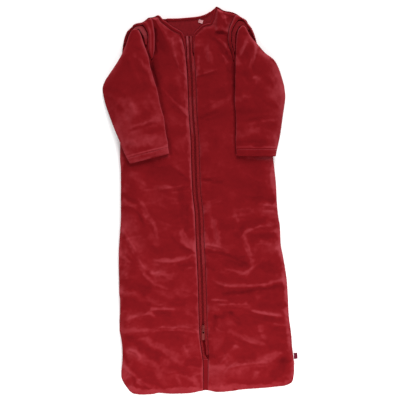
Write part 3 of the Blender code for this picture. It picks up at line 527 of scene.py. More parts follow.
def velour_material(**colours):
    """Velour: the nap group's colour, with its painted light and shade, and normal, and a soft reddish
    sheen.
    """
    made, tree, shader = blank_material(
        "velour", Roughness=0.9, Specular_IOR_Level=0.02,
        Sheen_Weight=0.22, Sheen_Roughness=0.35, Sheen_Tint=(1.0, 0.09, 0.12, 1),
    )
    pile_and_painted_light = placed_group(tree, nap_and_painted_light, shader, **colours)
    read_attribute(tree, "pile_and_painted_light", pile_and_painted_light.inputs["Lean_and_painted_light"])
    read_attribute(tree, "brushed_and_painted_light", pile_and_painted_light.inputs["Brushed_and_painted_light"])
    tree.links.new(pile_and_painted_light.outputs["Normal"], shader.inputs["Normal"])
    return made


# Deep and Bright are the velour's own colours; the third is a painted highlight colour.
velour = velour_material(
    Deep=(0.050, 0.0012, 0.0024), Bright=(0.198, 0.0068, 0.0096), Shine=(0.264, 0.032, 0.041)
)
print("material:", velour.name)

# %% Woven and knitted grounds
# A painted highlight colour, for tapes whose points carry painted light.
PAINTED_HIGHLIGHT_COLOUR = (0.27, 0.050, 0.060)


def woven_material(name, deep, bright, pitch, rough, slant=1.0, gloss=0.06, painted_highlight=PAINTED_HIGHLIGHT_COLOUR):
    """A fine weave over the piece's own chart, with threads a pitch apart in millimetres."""
    made, tree, shader = blank_material(name, Roughness=rough, Specular_IOR_Level=gloss)
    chart = tree.nodes.new("ShaderNodeUVMap")
    chart.uv_map = "chart"
    turn = 2 * math.pi / (pitch * MM)
    cloth = placed_group(
        tree, weave, shader, Deep=deep, Bright=bright, Worn=painted_highlight, Turn=turn, Slant=slant
    )
    tree.links.new(chart.outputs["UV"], cloth.inputs["Chart"])
    read_attribute(tree, "brushed_and_painted_light", cloth.inputs["Painted_light_and_shade"])
    raised(tree, shader, cloth.outputs["Height"], 0.6, 0.15 * MM)
    return made


lining = woven_material(
    "lining jersey", (0.098, 0.0036, 0.0058), (0.182, 0.0074, 0.0108), pitch=1.3, rough=0.9, slant=0.0
)
tape = woven_material(
    "zip tape twill", (0.112, 0.0034, 0.0052), (0.196, 0.0085, 0.0115),
    pitch=0.9, rough=0.8, painted_highlight=(0.27, 0.040, 0.050),
)
armhole_tape = woven_material(
    "armhole zip tape", (0.112, 0.0034, 0.0056), (0.188, 0.0078, 0.0112),
    pitch=0.9, rough=0.8, painted_highlight=(0.27, 0.060, 0.070),
)
satin = woven_material(
    "satin ribbon", (0.40, 0.14, 0.15), (0.62, 0.30, 0.31), pitch=0.5, rough=0.45, slant=0.0, gloss=0.4
)
plum = woven_material(
    "plum ribbon", (0.06, 0.004, 0.012), (0.13, 0.012, 0.026), pitch=0.8, rough=0.75, slant=0.0
)
print("woven:", [made.name for made in (lining, tape, armhole_tape, satin, plum)])

# %% Thread, teeth and slider
def plain_material(name, deep, bright, scale, rough, gloss=0.06, coat=0.0):
    """A hard finish whose colour and roughness shift a little: scale is waves per metre."""
    made, tree, shader = blank_material(name, Specular_IOR_Level=gloss, Coat_Weight=coat)
    skin = placed_group(
        tree, unevenness, shader, Deep=deep, Bright=bright, Scale=scale, Middle=rough
    )
    tree.links.new(skin.outputs["Roughness"], shader.inputs["Roughness"])
    raised(tree, shader, skin.outputs["Height"], 0.25, 0.05 * MM)
    return made


thread = plain_material(
    "sewing thread", (0.075, 0.0032, 0.0050), (0.15, 0.0090, 0.0125), scale=1800.0, rough=0.7
)
coil = plain_material(
    "zip coil", (0.088, 0.0026, 0.0040), (0.160, 0.0062, 0.0086), scale=700.0, rough=0.8
)
lacquer = plain_material(
    "lacquered slider", (0.092, 0.0085, 0.0080), (0.168, 0.021, 0.020),
    scale=300.0, rough=0.42, gloss=0.1, coat=0.02,
)
# Its dark colour is painted shade: the strip behind the zip is coloured as if it lay in shadow.
painted_shade_cloth = plain_material(
    "cloth in the gap", (0.062, 0.0014, 0.0024), (0.096, 0.0028, 0.0040),
    scale=400.0, rough=0.95, gloss=0.0,
)
print("materials:", len(bpy.data.materials))

# %% [markdown]
# ## The pattern
# These tables are the paper pattern, in millimetres: X to the right, Y towards the neck, Z up from
# the surface that the sack lies on. The solids use the same values, so each piece lies on its own
# solid, with finer steps and the creases added.

# %% Outline of the body and the zip
BACK_THICK, SEAM_GAP, SEAM_EDGE = 12.0, 0.3, 1.5
INNER_FACE = BACK_THICK + SEAM_GAP
# y, x of the left side, x of the right side
SIDES = [
    (-432, -169, 206), (-422, -177, 214), (-408, -182, 218), (-396, -182, 219), (-380, -180, 219),
    (-361, -179, 217), (-337, -180, 214), (-317, -183, 213), (-300, -186, 211), (-280, -186, 208),
    (-258, -185, 206), (-232, -185, 205), (-213, -187, 204), (-185, -187, 202), (-157, -188, 198),
    (-129, -188, 193), (-102, -187, 188), (-60, -184, 186), (-36, -183, 182), (-4, -183, 179),
    (38, -183, 177), (66, -183, 174), (100, -185, 170), (163, -184, 160), (256, -182, 147),
    (345, -180, 137),
]
HEM = [
    (-169, -432), (-163, -442), (-152, -449), (-136, -451), (-110, -450), (-95, -447), (-68, -449),
    (-27, -448), (1, -443), (15, -441), (43, -445), (71, -443), (99, -439), (126, -437), (154, -435),
    (182, -432), (198, -430), (206, -425),
]
SHOULDER_LEFT = [
    (-180, 345), (-176, 372), (-169, 391), (-158, 402), (-149, 410), (-140, 411), (-125, 419),
    (-118, 424), (-109, 425), (-99, 429), (-95, 430),
]
BACK_NECK = [
    (-95, 430), (-91, 427), (-85, 421), (-56, 422), (-27, 424), (-7, 426), (7, 429), (19, 434),
    (31, 443), (38, 450),
]
SHOULDER_RIGHT = [
    (38, 450), (45, 447), (57, 440), (73, 437), (84, 433), (93, 427), (100, 423), (108, 418),
    (113, 409), (119, 402), (125, 390), (130, 375), (137, 345),
]
# y, x of the zip's middle, width of its space to the left and to the right
ZIP = [
    (384, -25, 21, 16), (373, -24.5, 17, 12), (358, -23.5, 14, 10.5), (344, -23, 11, 10),
    (290, -19, 10.5, 10), (203, -16, 10, 10), (131, -11, 10, 10), (87, -10, 10, 10), (15, -7, 10, 10),
    (-29, -2, 10, 10), (-101, 1, 10, 10), (-159, 4, 10, 10), (-217, 6, 10, 10), (-261, 7, 10, 10),
    (-319, 9, 9.5, 9.5), (-361, 13, 8, 8), (-378, 13.6, 6.5, 6.5), (-450, 13.6, 6, 6),
]
ARMHOLE_LEFT = [
    (-183, 235), (-160, 257), (-135, 283), (-118, 309), (-107, 335), (-104, 358), (-104, 380),
    (-106, 402), (-112, 421),
]
ARMHOLE_RIGHT = [
    (151, 232), (126, 254), (102, 276), (87, 299), (77, 325), (73, 344), (68, 357), (65, 372),
    (66, 388), (69, 402), (75, 415), (83, 430),
]
NECK_LEFT = [
    (-112, 421), (-105, 424), (-98, 424), (-91, 414), (-80, 405), (-67, 395), (-54, 388), (-46, 384),
]
NECK_RIGHT = [
    (-9, 384), (2, 395), (9, 401), (17, 404), (27, 406), (33, 418), (37, 434), (41, 444), (50, 440),
    (61, 436), (73, 433), (83, 430),
]


def zip_middle(y):
    """The zip's x at each y."""
    return smooth_column(ZIP, y)


def zip_half(y, side):
    """The width of the zip's space on one side of its middle."""
    return smooth_column(ZIP, y, 2 if side < 0 else 3)


def hem_y(x):
    """The hem's y at each x."""
    return smooth_column(HEM, x)


HEM_AT_ZIP = float(hem_y(zip_middle(-443.0)))


def side_seam(low, high, index):
    """One side of the outline between two heights."""
    y = np.linspace(low, high, 70)
    return np.column_stack([smooth_column(SIDES, y, index), y])


def body_loop():
    """The outline of the whole body, anticlockwise from the left hem corner."""
    hem = along(HEM, 60)
    right = side_seam(hem[-1, 1], SIDES[-1][0], 2)
    top = along(SHOULDER_LEFT[:-1] + BACK_NECK[:-1] + SHOULDER_RIGHT, 90)[::-1]
    left = side_seam(SIDES[-1][0], SIDES[0][0], 1)
    return np.vstack([hem[:-1], right[:-1], top[:-1], left[:-1]])


body_edge = body_loop()
print("body:", np.ptp(body_edge, axis=0).round(), "mm")

# %% [markdown]
# ## Laying out a cut piece
# A cut piece has four edges. The grid between them starts as the flat sheet of the four corners,
# and each edge then pulls its own side into shape, less and less with the square of the distance.

# %% A sheet between four edges
def patch(left, right, low, top, u, v):
    """The corners' bilinear sheet, plus each edge's way off its chord times a fading square."""
    uu, vv = u[None, :, None], v[:, None, None]
    left_chord = (1 - vv) * left[0] + vv * left[-1]
    right_chord = (1 - vv) * right[0] + vv * right[-1]
    low_chord = (1 - uu) * left[0] + uu * right[0]
    top_chord = (1 - uu) * left[-1] + uu * right[-1]
    sheet = (1 - uu) * left_chord + uu * right_chord
    sheet = sheet + (1 - uu) ** 2 * (left[:, None] - left_chord)
    sheet = sheet + uu**2 * (right[:, None] - right_chord)
    sheet = sheet + (1 - vv) ** 2 * (low[None] - low_chord)
    return sheet + vv**2 * (top[None] - top_chord)


def at_shares(path, shares, fine=1200):
    """Points of a path at shares of its length."""
    return along(path, fine)[np.round(shares * (fine - 1)).astype(int)]


def up_edge(path, shares):
    """Points of an upright edge at shares of its height."""
    y = path[0, 1] + shares * (path[-1, 1] - path[0, 1])
    return np.column_stack([smooth(y, path[:, 1], path[:, 0]), y])


class Front:
    """The cut of one front: its outer edge with the armhole, neckline, hem and zip edge."""

    def __init__(self, side):
        self.side = side
        corner = HEM[0] if side < 0 else HEM[-1]
        armhole, neck = (ARMHOLE_LEFT, NECK_LEFT) if side < 0 else (ARMHOLE_RIGHT, NECK_RIGHT)
        inner_x = zip_middle(HEM_AT_ZIP) + side * ZIP[-1][2]
        hem_x = (corner[0], inner_x) if side < 0 else (inner_x, corner[0])
        rows = [row for row in SIDES if corner[1] < row[0] < armhole[0][1] - 8]
        rising = [(row[1] if side < 0 else row[2], row[0]) for row in rows]
        self.outer = np.array([corner] + rising + armhole, float)
        self.neck = np.array(neck, float)
        x = np.linspace(hem_x[0], hem_x[1], 60)
        self.hem = np.column_stack([x, hem_y(x)])
        y = np.linspace(HEM_AT_ZIP, ZIP[0][0], 140)
        self.zip_edge = np.column_stack([zip_middle(y) + side * zip_half(y, side), y])
        self.zip_edge[0] = self.hem[-1] if side < 0 else self.hem[0]
        self.zip_edge[-1] = self.neck[-1] if side < 0 else self.neck[0]

    def grid(self, columns, rows, ends):
        """The cut piece as points[row, column] in plan, closer together at its edges."""
        u, v = spread(columns, ends), spread(rows, 0.4)
        outer, inner = up_edge(self.outer, v), up_edge(self.zip_edge, v)
        left, right = (outer, inner) if self.side < 0 else (inner, outer)
        return patch(left, right, at_shares(self.hem, u), at_shares(self.neck, u), u, v)


fronts = {-1: Front(-1), 1: Front(1)}
front_loops = [rim_of(fronts[side].grid(40, 90, 0.6)) for side in (-1, 1)]
print("fronts:", [np.ptp(loop, axis=0).round() for loop in front_loops], "mm")

# %% [markdown]
# ## Creases
# Each crease is a soft ridge or trough that runs between two places and may bow. On cloth that
# lies on its back, the side of a ridge that faces the neck slopes gently and the other side drops,
# so the bell across it is wider on one side. Between the large creases come many small ones, whose
# places are drawn by a seeded generator, and the slow swell of the wadding.

# %% A bell along a bowed line
def beside_line(points, row):
    """Which points lie near a bowed line, how far to its left, their share along it, and past it.

    Both distances are counted in 0.6 of the row's width.
    """
    x0, y0, x1, y1, width = row[:5]
    bow = row[6] if len(row) > 6 else 0
    length = max(math.hypot(x1 - x0, y1 - y0), 1.0)
    way = np.array([x1 - x0, y1 - y0]) / length
    unit, reach = 0.6 * width, 2.2 * width + abs(bow)
    low = np.minimum([x0, y0], [x1, y1]) - reach
    high = np.maximum([x0, y0], [x1, y1]) + reach
    close = np.flatnonzero(((points > low) & (points < high)).all(axis=1))
    rel = points[close] - (x0, y0)
    run = rel @ way
    share = np.clip(run / length, 0, 1)
    off = rel @ np.array([-way[1], way[0]]) - bow * 4 * share * (1 - share)
    past = np.maximum(np.maximum(-run, run - length), 0)
    return close, off / unit, share, past / unit


def creases(points, table, lean=0.0):
    """Sum of bells over bowed lines, each height times exp(-off² - past²), counted as above.

    A third of each bell is drawn in to half of its width, which gives the crest its edge, and it
    fades towards both ends. Each row is x0, y0, x1, y1, width, height, and a bow to the left where
    it has one. The bell is wider by the share lean on the left of the way from the first end to
    the second, and narrower on the right.
    """
    total = np.zeros(len(points))
    for row in table:
        close, off, share, past = beside_line(points, row)
        off = off / np.where(off > 0, 1 + lean, 1 - lean)
        bell = 0.67 * np.exp(-(off**2)) + 0.33 * np.exp(-((off / 0.5) ** 2))
        fade = 0.35 + 0.65 * np.sqrt(np.maximum(4 * share * (1 - share), 0))
        total[close] += row[5] * fade * bell * np.exp(-(past**2))
    return total


def strokes(points, table):
    """Brush marks, with painted light and shade: a flat-topped bell exp(-off⁴) over each line, on
    points that sway by a few mm, less so for marks under 18 mm wide.

    Light marks that overlap level off at 2.2, dark ones add up, for painted shade in a deep gap.
    """
    wide, most = 18, 2.2
    sway = 2.6 * np.column_stack([swell(points, seed, 34) for seed in (301, 302)])
    sway += 1.2 * np.column_stack([swell(points, seed, 13) for seed in (303, 304)])
    total = np.zeros(len(points))
    for row in table:
        close, off, _, past = beside_line(points + sway * min(1, row[4] / wide), row)
        total[close] += row[5] * np.exp(-(off**4)) * np.exp(-(past**2))
    return np.where(total > 0, most * np.tanh(total / most), total)


def small_creases(seed, count, box, turn, swing, longest=60.0, deepest=1.4):
    """Rows of short creases: seeded places in a box, turned by about the angle given."""
    draw = np.random.default_rng(seed)
    x = draw.uniform(box[0], box[2], count)
    y = draw.uniform(box[1], box[3], count)
    angle = np.radians(turn + swing * draw.standard_normal(count))
    length = draw.uniform(0.3, 1.0, count) * longest
    bow = draw.uniform(-0.12, 0.12, count) * length
    width = draw.uniform(4.5, 10.0, count)
    height = draw.uniform(0.4, 1.0, count) * deepest * np.where(draw.random(count) < 0.6, 1, -1)
    dx, dy = np.cos(angle) * length / 2, np.sin(angle) * length / 2
    return list(zip(x - dx, y - dy, x + dx, y + dy, width, height, bow))


def swell(points, seed, size, waves=14):
    """The wadding's slow rise and fall: a mean of sine waves of random way, length and phase."""
    draw = np.random.default_rng(seed)
    angle = draw.uniform(0, 2 * math.pi, waves)
    long = size * draw.uniform(0.7, 1.6, waves)
    phase = draw.uniform(0, 2 * math.pi, waves)
    way = np.stack([np.cos(angle), np.sin(angle)]) * 2 * math.pi / long
    return np.sin(points @ way + phase).sum(axis=1) / math.sqrt(waves / 2)


def puckers(place, seed, size):
    """Little pulls along a seam: a sine of the place along it, whose pace drifts."""
    draw = np.random.default_rng(seed)
    total = np.zeros_like(place)
    for _ in range(5):
        long = size * draw.uniform(0.6, 1.9)
        total += np.sin(2 * math.pi * place / long + draw.uniform(0, 6.3)) * draw.uniform(0.4, 1)
    return total / 2.4


# %% The large creases of the fronts: x0, y0, x1, y1, width, height, bow
FOLDS = [
    # upper left, beside the neck and the zip
    (-63, 377, -28, 282, 11, 3.4, -10), (-44, 351, -30, 290, 9, 2.6, 4),
    (-81, 250, -27, 195, 11, 3.4, -3), (-86, 262, -34, 212, 10, -1.6, -3),
    (-71, 130, -46, 107, 12, 2.4), (-95, 360, -78, 330, 20, -2.5),
    # upper right
    (28, 380, 73, 327, 13, 2.8, 6), (40, 362, 75, 314, 11, -2.2, -3), (19, 342, 25, 319, 11, 2.2),
    (-9, 288, 41, 302, 9, 2.8, -2), (-5, 184, 47, 203, 10, -2, 1), (-3, 193, 45, 212, 12, 1.8, 1),
    (12, 216, 33, 228, 11, 2), (59, 235, 64, 261, 14, 3), (38, 386, 70, 385, 9, -2.6),
    # lower left
    (-69, 82, -25, 50, 11, 3.2), (-92, 21, -20, 34, 9, 3.4, 2), (-62, 20, -20, 25, 9, -3),
    (-150, 6, -127, -20, 11, 2.6), (-176, -13, -127, -63, 10, 3.2, 14), (-115, -52, -98, -83, 11, 3),
    (-180, -69, -148, -121, 11, 3.2), (-144, -133, -110, -174, 10, 3, -6),
    (-104, -172, -74, -176, 16, 4), (-133, -171, -69, -208, 9, 3.2, -7),
    (-104, -141, -14, -129, 11, 4.4, -8), (-44, -154, -13, -154, 11, -3.4),
    (-63, -81, -14, -116, 12, 4, -6), (-32, -84, -15, -110, 14, 2.6), (-32, 22, -33, -62, 14, -2.6),
    (-185, -129, -168, -139, 9, 2.4), (-165, -196, -121, -229, 13, 2.8, 4),
    (-122, -233, -88, -246, 14, 2.4), (-110, -255, -60, -253, 8, 2.8), (-112, -264, -62, -262, 8, -1.8),
    (-165, -278, -110, -264, 10, 3.2, 3), (-107, -298, -60, -297, 9, 3, 3),
    (-60, -296, -5, -303, 9, 3.8, 4), (-90, -309, -30, -311, 10, -2.2, 3),
    (-173, -307, -121, -303, 11, 3), (-168, -322, -130, -318, 10, -1.8),
    (-165, -348, -139, -371, 9, 3, 7), (-129, -346, -90, -361, 16, -3),
    (-176, -382, -134, -420, 9, 3, -4), (-134, -420, -92, -445, 9, 3, -3),
    (-52, -417, -40, -431, 9, 2.2), (-69, -365, -52, -377, 14, 2.6), (-40, -336, -32, -353, 12, 2.4),
    (-28, -373, -6, -373, 12, -2.8), (-55, -400, -23, -404, 16, -2.6),
    (-128, -370, -100, -392, 16, 2.4, 4),
    # lower right
    (9, 50, 47, 55, 9, 1.7), (8, 44, 40, 45, 8, -3), (24, -34, 26, -13, 11, 2.2),
    (35, -46, 44, -92, 10, 2.8), (12, -104, 61, -116, 9, 4.6, 2), (12, -121, 102, -148, 10, -4.4, 6),
    (82, -34, 88, -69, 10, 2.2), (91, -23, 119, -20, 10, 2.6), (93, -31, 122, -28, 10, -2),
    (146, -13, 175, -13, 9, 3), (146, -23, 175, -24, 10, -2.4), (99, -87, 163, -60, 11, 3.6, 8),
    (99, -87, 122, -145, 11, 3.6, 3), (121, -85, 163, -90, 16, -4), (163, -78, 180, -66, 9, 2.6),
    (26, -159, 99, -174, 10, 3.2, 5), (99, -174, 142, -141, 10, 3.6, -3),
    (140, -167, 186, -168, 14, -3.6), (30, -185, 62, -199, 10, 4.4, -4),
    (56, -200, 192, -187, 12, 6, -8), (56, -217, 130, -208, 12, -5.4, -3),
    (126, -208, 192, -200, 12, -4.6, -2), (26, -233, 64, -233, 8, 3), (49, -243, 111, -242, 9, 3.4),
    (56, -252, 112, -252, 10, -2), (107, -252, 188, -269, 10, 4.6, -4),
    (112, -266, 186, -283, 10, -2.6, -4), (30, -303, 93, -280, 12, -3.4, 32),
    (48, -292, 84, -292, 20, 1.6), (70, -307, 151, -336, 11, 3.2, -7), (72, -331, 112, -341, 15, -3.4),
    (135, -303, 155, -304, 16, 3), (165, -290, 200, -290, 9, 2.8), (168, -302, 200, -304, 12, -2.6),
    (186, -331, 212, -331, 9, 2.4), (17, -365, 35, -364, 9, -3), (47, -380, 67, -359, 11, 3.2),
    (70, -388, 157, -377, 11, 4.2, 3), (84, -367, 118, -366, 13, -3.6),
    (172, -371, 196, -408, 24, -4.6), (188, -359, 204, -348, 9, 2.6), (128, -411, 134, -398, 10, 2.2),
]
large = sum(abs(row[5]) >= 3 for row in FOLDS)
print("front creases:", len(FOLDS), "of which", large, "are 3 mm or more")

# %% How the pile of the fronts lies, with painted light and shade: x0, y0, x1, y1, width, lighter or darker, bow
BRUSHED_AND_PAINTED_LIGHT = [
    # upper left
    (-63, 374, -58, 334, 6, 0.7, -1), (-58, 334, -31, 283, 5, 1.1, -4), (-80, 403, -76, 389, 7, 0.4),
    (-43, 369, -29, 343, 6, 0.9, 2), (-52, 279, -34, 209, 14, 0.5, 3), (-75, 238, -29, 196, 6, 1, -3),
    (-38, 335, -31, 290, 5, 0.9), (-69, 185, -34, 140, 38, 0.35), (-33, 282, -29, 200, 6, 0.9),
    (-30, 189, -23, 116, 6, 1), (-23, 110, -17, 30, 8, 0.9), (-98, 389, -84, 302, 30, -0.9),
    (-86, 372, -84, 345, 18, -0.5), (-51, 328, -40, 302, 9, -0.6), (-57, 157, -34, 157, 16, -0.8),
    (-70, 270, -60, 225, 20, -0.3), (-72, 400, -56, 372, 14, -0.7), (-64, 300, -60, 262, 13, -0.6),
    # upper right
    (30, 378, 47, 370, 7, 0.6, 2), (47, 370, 76, 325, 6, 0.7, 4), (-6, 334, -3, 306, 7, 1.2),
    (15, 348, 27, 322, 11, 0.9), (-5, 366, 0, 302, 11, 0.4), (-11, 289, 38, 299, 5, 0.7),
    (66, 261, 70, 232, 11, 0.5), (30, 215, 61, 235, 17, 0.5), (59, 427, 61, 409, 4, 1),
    (42, 397, 62, 396, 8, 1.1), (46, 446, 74, 432, 10, -3), (50, 434, 74, 425, 9, -1),
    (20, 402, 33, 378, 16, -0.9), (38, 430, 46, 408, 14, -0.5), (48, 384, 76, 340, 14, -0.9),
    (12, 154, 12, 116, 24, 0.6), (48, 150, 52, 120, 20, 0.3), (35, 377, 64, 343, 6, -0.5, 2),
    (47, 348, 73, 325, 7, -0.9, 2), (68, 376, 69, 262, 11, -1.1), (44, 366, 52, 325, 14, -0.7),
    # painted shade below the turned shoulder seam and beside the right armhole
    (38, 387, 72, 386, 8, -2), (66, 384, 80, 350, 12, -1.8, 3), (-2, 314, 6, 293, 9, -1),
    (27, 241, 61, 250, 15, -0.7), (-2, 186, 79, 203, 14, -0.4, 2), (6, 261, 18, 218, 17, -0.4),
    # painted shade in the gaps beside the sleeves, painted light in the shadows below the cuffs
    (-104, 396, -104, 345, 10, -3.6), (-108, 325, -98, 275, 14, -1.5), (-114, 320, -102, 268, 9, -2.2),
    (-98, 262, -89, 215, 9, -1.6), (-86, 204, -75, 140, 7, -1.8), (-72, 140, -67, 108, 7, -1.8),
    (76, 372, 80, 345, 8, -2.2), (79, 345, 79, 268, 9, -2.6), (79, 264, 80, 228, 9, -1.8),
    (81, 225, 83, 110, 6, -1.2), (110, 97, 174, 96, 7, 1), (-162, 78, -74, 101, 9, 0.5),
    # lower left, with broad strokes of painted light
    (-156, 64, -127, 29, 15, 0.5), (-107, 29, -23, 32, 9, 0.7), (-50, 31, -38, 24, 8, 0.6),
    (-144, 0, -121, -34, 9, 0.9, 2), (-121, -34, -98, -84, 9, 1, 3), (-168, -46, -147, -86, 24, 0.55),
    (-46, -69, -11, -115, 18, 1, -3), (-30, -96, -14, -116, 11, 1.1), (-44, -74, -34, -86, 11, 0.7),
    (-160, -55, -128, -112, 34, 0.5), (-184, -208, -182, -240, 10, 0.8), (-16, 15, -11, -62, 7, 0.8),
    (-9, -95, -4, -190, 7, 0.8), (-101, -142, -14, -133, 12, 1.1, -4),
    (-103, -174, -66, -177, 17, 1.5, -2), (-141, -139, -104, -197, 8, 0.8, -5),
    (-180, -68, -150, -118, 8, 0.9), (-185, -129, -165, -141, 7, 0.9), (-175, 0, -150, -12, 8, 0.6),
    (-184, 130, -184, 72, 10, 1), (-182, -112, -178, -165, 24, 0.9), (-178, -200, -150, -240, 28, 0.5),
    (-104, 73, -40, 50, 28, -0.8), (-170, 78, -118, 84, 16, -0.7), (-43, 21, -31, -63, 15, -1.2),
    (-176, 10, -147, -4, 10, -0.9), (-141, -23, -127, -57, 9, -0.8), (-108, -112, -93, -114, 15, -0.9),
    (-63, -86, -28, -124, 12, -0.3, 2), (-43, -153, -17, -144, 17, -1.1),
    (-176, -92, -180, -153, 10, -0.6), (-170, -197, -121, -205, 17, -0.9),
    (-120, -167, -116, -169, 9, -0.9), (-60, -20, -52, -60, 20, -0.4), (-97, 10, -60, -5, 30, 0.25),
    (-150, 50, -50, -30, 70, 0.2), (-160, -110, -40, -220, 70, 0.36), (-112, -82, -94, -98, 16, 0.8),
    (-95, -50, -75, -90, 18, 0.3),
    # lower right, with a broad stroke of painted light
    (30, 60, 150, -50, 70, 0.18), (13, -76, 14, -118, 10, 0.9), (18, -14, 24, -46, 13, 0.8),
    (32, -49, 44, -98, 12, 1.1), (12, -90, 47, -90, 24, 0.2), (12, -107, 64, -118, 9, 1.2, 2),
    (79, -20, 88, -72, 9, 0.7), (90, -23, 122, -23, 9, 0.9), (148, -14, 177, -17, 6, 0.8),
    (105, -81, 163, -57, 12, 0.6, 6), (99, -86, 111, -115, 11, 0.9), (111, -115, 122, -139, 10, 0.8),
    (122, -139, 117, -156, 9, 0.8), (166, -75, 183, -69, 9, 1), (64, -107, 79, -107, 10, 0.7),
    (35, -162, 108, -169, 9, 0.9, 1), (108, -168, 140, -144, 9, 0.9), (18, -179, 35, -200, 20, 0.2),
    (58, -199, 148, -197, 7, 0.9, 1), (198, -188, 206, -245, 11, 1.6), (148, -197, 192, -188, 10, 1.3),
    (131, -104, 183, -112, 24, 0.7), (171, 79, 176, -12, 11, 1.6), (181, -74, 188, -125, 10, 1.3),
    (188, -110, 196, -173, 8, 0.8), (9, 47, 47, 41, 9, -1.4), (99, 29, 165, 5, 32, -0.7),
    (92, 6, 170, -4, 14, -1), (50, -57, 73, -60, 16, -0.8), (88, -57, 151, -49, 15, -1.1),
    (85, -83, 102, -63, 11, -1), (125, -86, 169, -83, 17, -1.3), (18, -121, 102, -144, 15, -1.3, 2),
    (61, -146, 102, -150, 15, -0.9), (143, -150, 186, -165, 19, -1.1), (12, -150, 30, -154, 12, -0.8),
    (56, -217, 120, -211, 11, -1.6), (138, -208, 192, -200, 13, -1.2), (50, -182, 105, -185, 11, -0.5),
    (146, -220, 182, -224, 15, -0.6), (70, -232, 120, -228, 14, -0.5),
    # the bottom, left of the zip, with a painted highlight along the hem and a broad stroke of painted
    # light
    (-176, -211, -84, -243, 19, 0.8, 2), (-110, -252, -60, -255, 7, 1),
    (-165, -278, -107, -263, 11, 1, 2), (-176, -301, -121, -304, 13, 0.9),
    (-107, -301, -63, -298, 8, 1.2, 1), (-63, -298, -5, -304, 8, 1.1, 2),
    (-86, -214, -17, -223, 15, 0.5), (-26, -262, -10, -275, 14, 0.7),
    (-165, -347, -139, -365, 10, 1, 2), (-139, -365, -110, -377, 13, 1),
    (-130, -324, -84, -345, 13, 0.9, 3), (-179, -382, -141, -420, 9, 1, 2),
    (-141, -420, -92, -440, 10, 1.2, 2), (-101, -391, -81, -423, 20, 0.8),
    (-84, -374, -46, -374, 15, 0.6), (-74, -350, -56, -361, 15, 0.8), (-37, -342, -31, -359, 11, 0.9),
    (-52, -411, -43, -432, 7, 0.9), (-22, -405, 4, -429, 20, 0.8), (-160, -441, -110, -446, 13, 2.6),
    (-110, -446, 8, -441, 13, 2.8), (-174, -402, -160, -434, 16, 1.1),
    (-138, -336, -92, -365, 16, -1.1), (-101, -313, -46, -310, 19, -0.7),
    (-55, -325, -38, -335, 16, -0.5), (-28, -374, 0, -376, 13, -1.3), (-57, -385, -23, -402, 15, -1),
    (-150, -394, -110, -411, 24, -0.6), (-168, -318, -150, -324, 12, -0.9),
    (-176, -359, -168, -368, 12, -0.9), (-176, -234, -121, -252, 15, -0.7),
    (-63, -237, -11, -229, 13, -0.9), (-101, -260, -69, -263, 9, -0.7),
    (-118, -182, -60, -190, 16, -0.3), (-150, -330, -20, -420, 90, 0.48),
    # the bottom, right of the zip, with a painted highlight along the hem and a broad stroke of painted
    # light
    (41, -301, 67, -290, 16, 0.2), (70, -304, 151, -336, 9, 0.8), (110, -350, 165, -362, 30, 0.4),
    (140, -290, 148, -313, 12, 0.9), (47, -243, 111, -242, 8, 1.1), (30, -231, 64, -233, 6, 0.9),
    (122, -255, 186, -268, 7, 1), (169, -291, 195, -291, 6, 0.5), (24, -252, 47, -258, 11, 0.7),
    (53, -377, 70, -359, 11, 0.6), (22, -392, 78, -402, 26, 0.9), (14, -366, 50, -374, 14, -0.6),
    (92, -385, 154, -377, 11, 1), (20, -320, 24, -350, 13, -0.9), (160, -362, 183, -359, 13, 1.1),
    (76, -345, 85, -336, 11, 0.6), (27, -388, 53, -420, 28, 0.6), (22, -416, 50, -426, 16, 1.1),
    (-12, -414, -4, -430, 10, 0.8), (125, -414, 134, -397, 8, 0.7), (20, -438, 100, -434, 13, 2.6),
    (100, -434, 160, -431, 13, 2.4), (160, -431, 200, -425, 12, 1.6), (131, -226, 148, -217, 11, 0.8),
    (30, -330, 180, -420, 90, 0.45), (198, -240, 207, -336, 8, 0.8), (211, -371, 215, -405, 8, 0.6),
    (95, -400, 130, -403, 20, 0.4), (30, -298, 38, -269, 11, -1.2), (38, -269, 73, -263, 11, -1.2),
    (73, -263, 90, -284, 11, -1), (53, -347, 70, -324, 17, -0.8), (90, -374, 120, -362, 15, -0.9),
    (99, -336, 125, -359, 13, -0.6), (18, -362, 38, -362, 10, -1.3), (172, -408, 196, -373, 22, -1.5),
    (196, -368, 208, -396, 14, -0.7), (146, -246, 198, -243, 13, -0.9), (96, -275, 183, -278, 14, -0.8),
    (166, -301, 198, -310, 17, -0.9), (166, -336, 192, -342, 15, -0.7),
]


def small_dabs(seed, count):
    """Small seeded brush marks all over the lower fronts: place, way, width, lighter or darker."""
    draw = np.random.default_rng(seed)
    limits = [(-178, 200), (-440, 60), (-14, 14), (-9, 9), (6, 13), (-0.28, 0.34)]
    x, y, dx, dy, width, shade = (draw.uniform(low, high, count) for low, high in limits)
    return list(zip(x, y, x + dx, y + dy, width, shade))


DABS = small_dabs(91, 150)
print("brush marks:", len(BRUSHED_AND_PAINTED_LIGHT), "by hand,", len(DABS), "small ones")

# %% [markdown]
# ## Where the sleeves lie
# The sleeves are flat padded tubes that lie on the fronts and hang down over the sides. Their
# sections are needed early, because the cloth beneath them is pressed smooth.

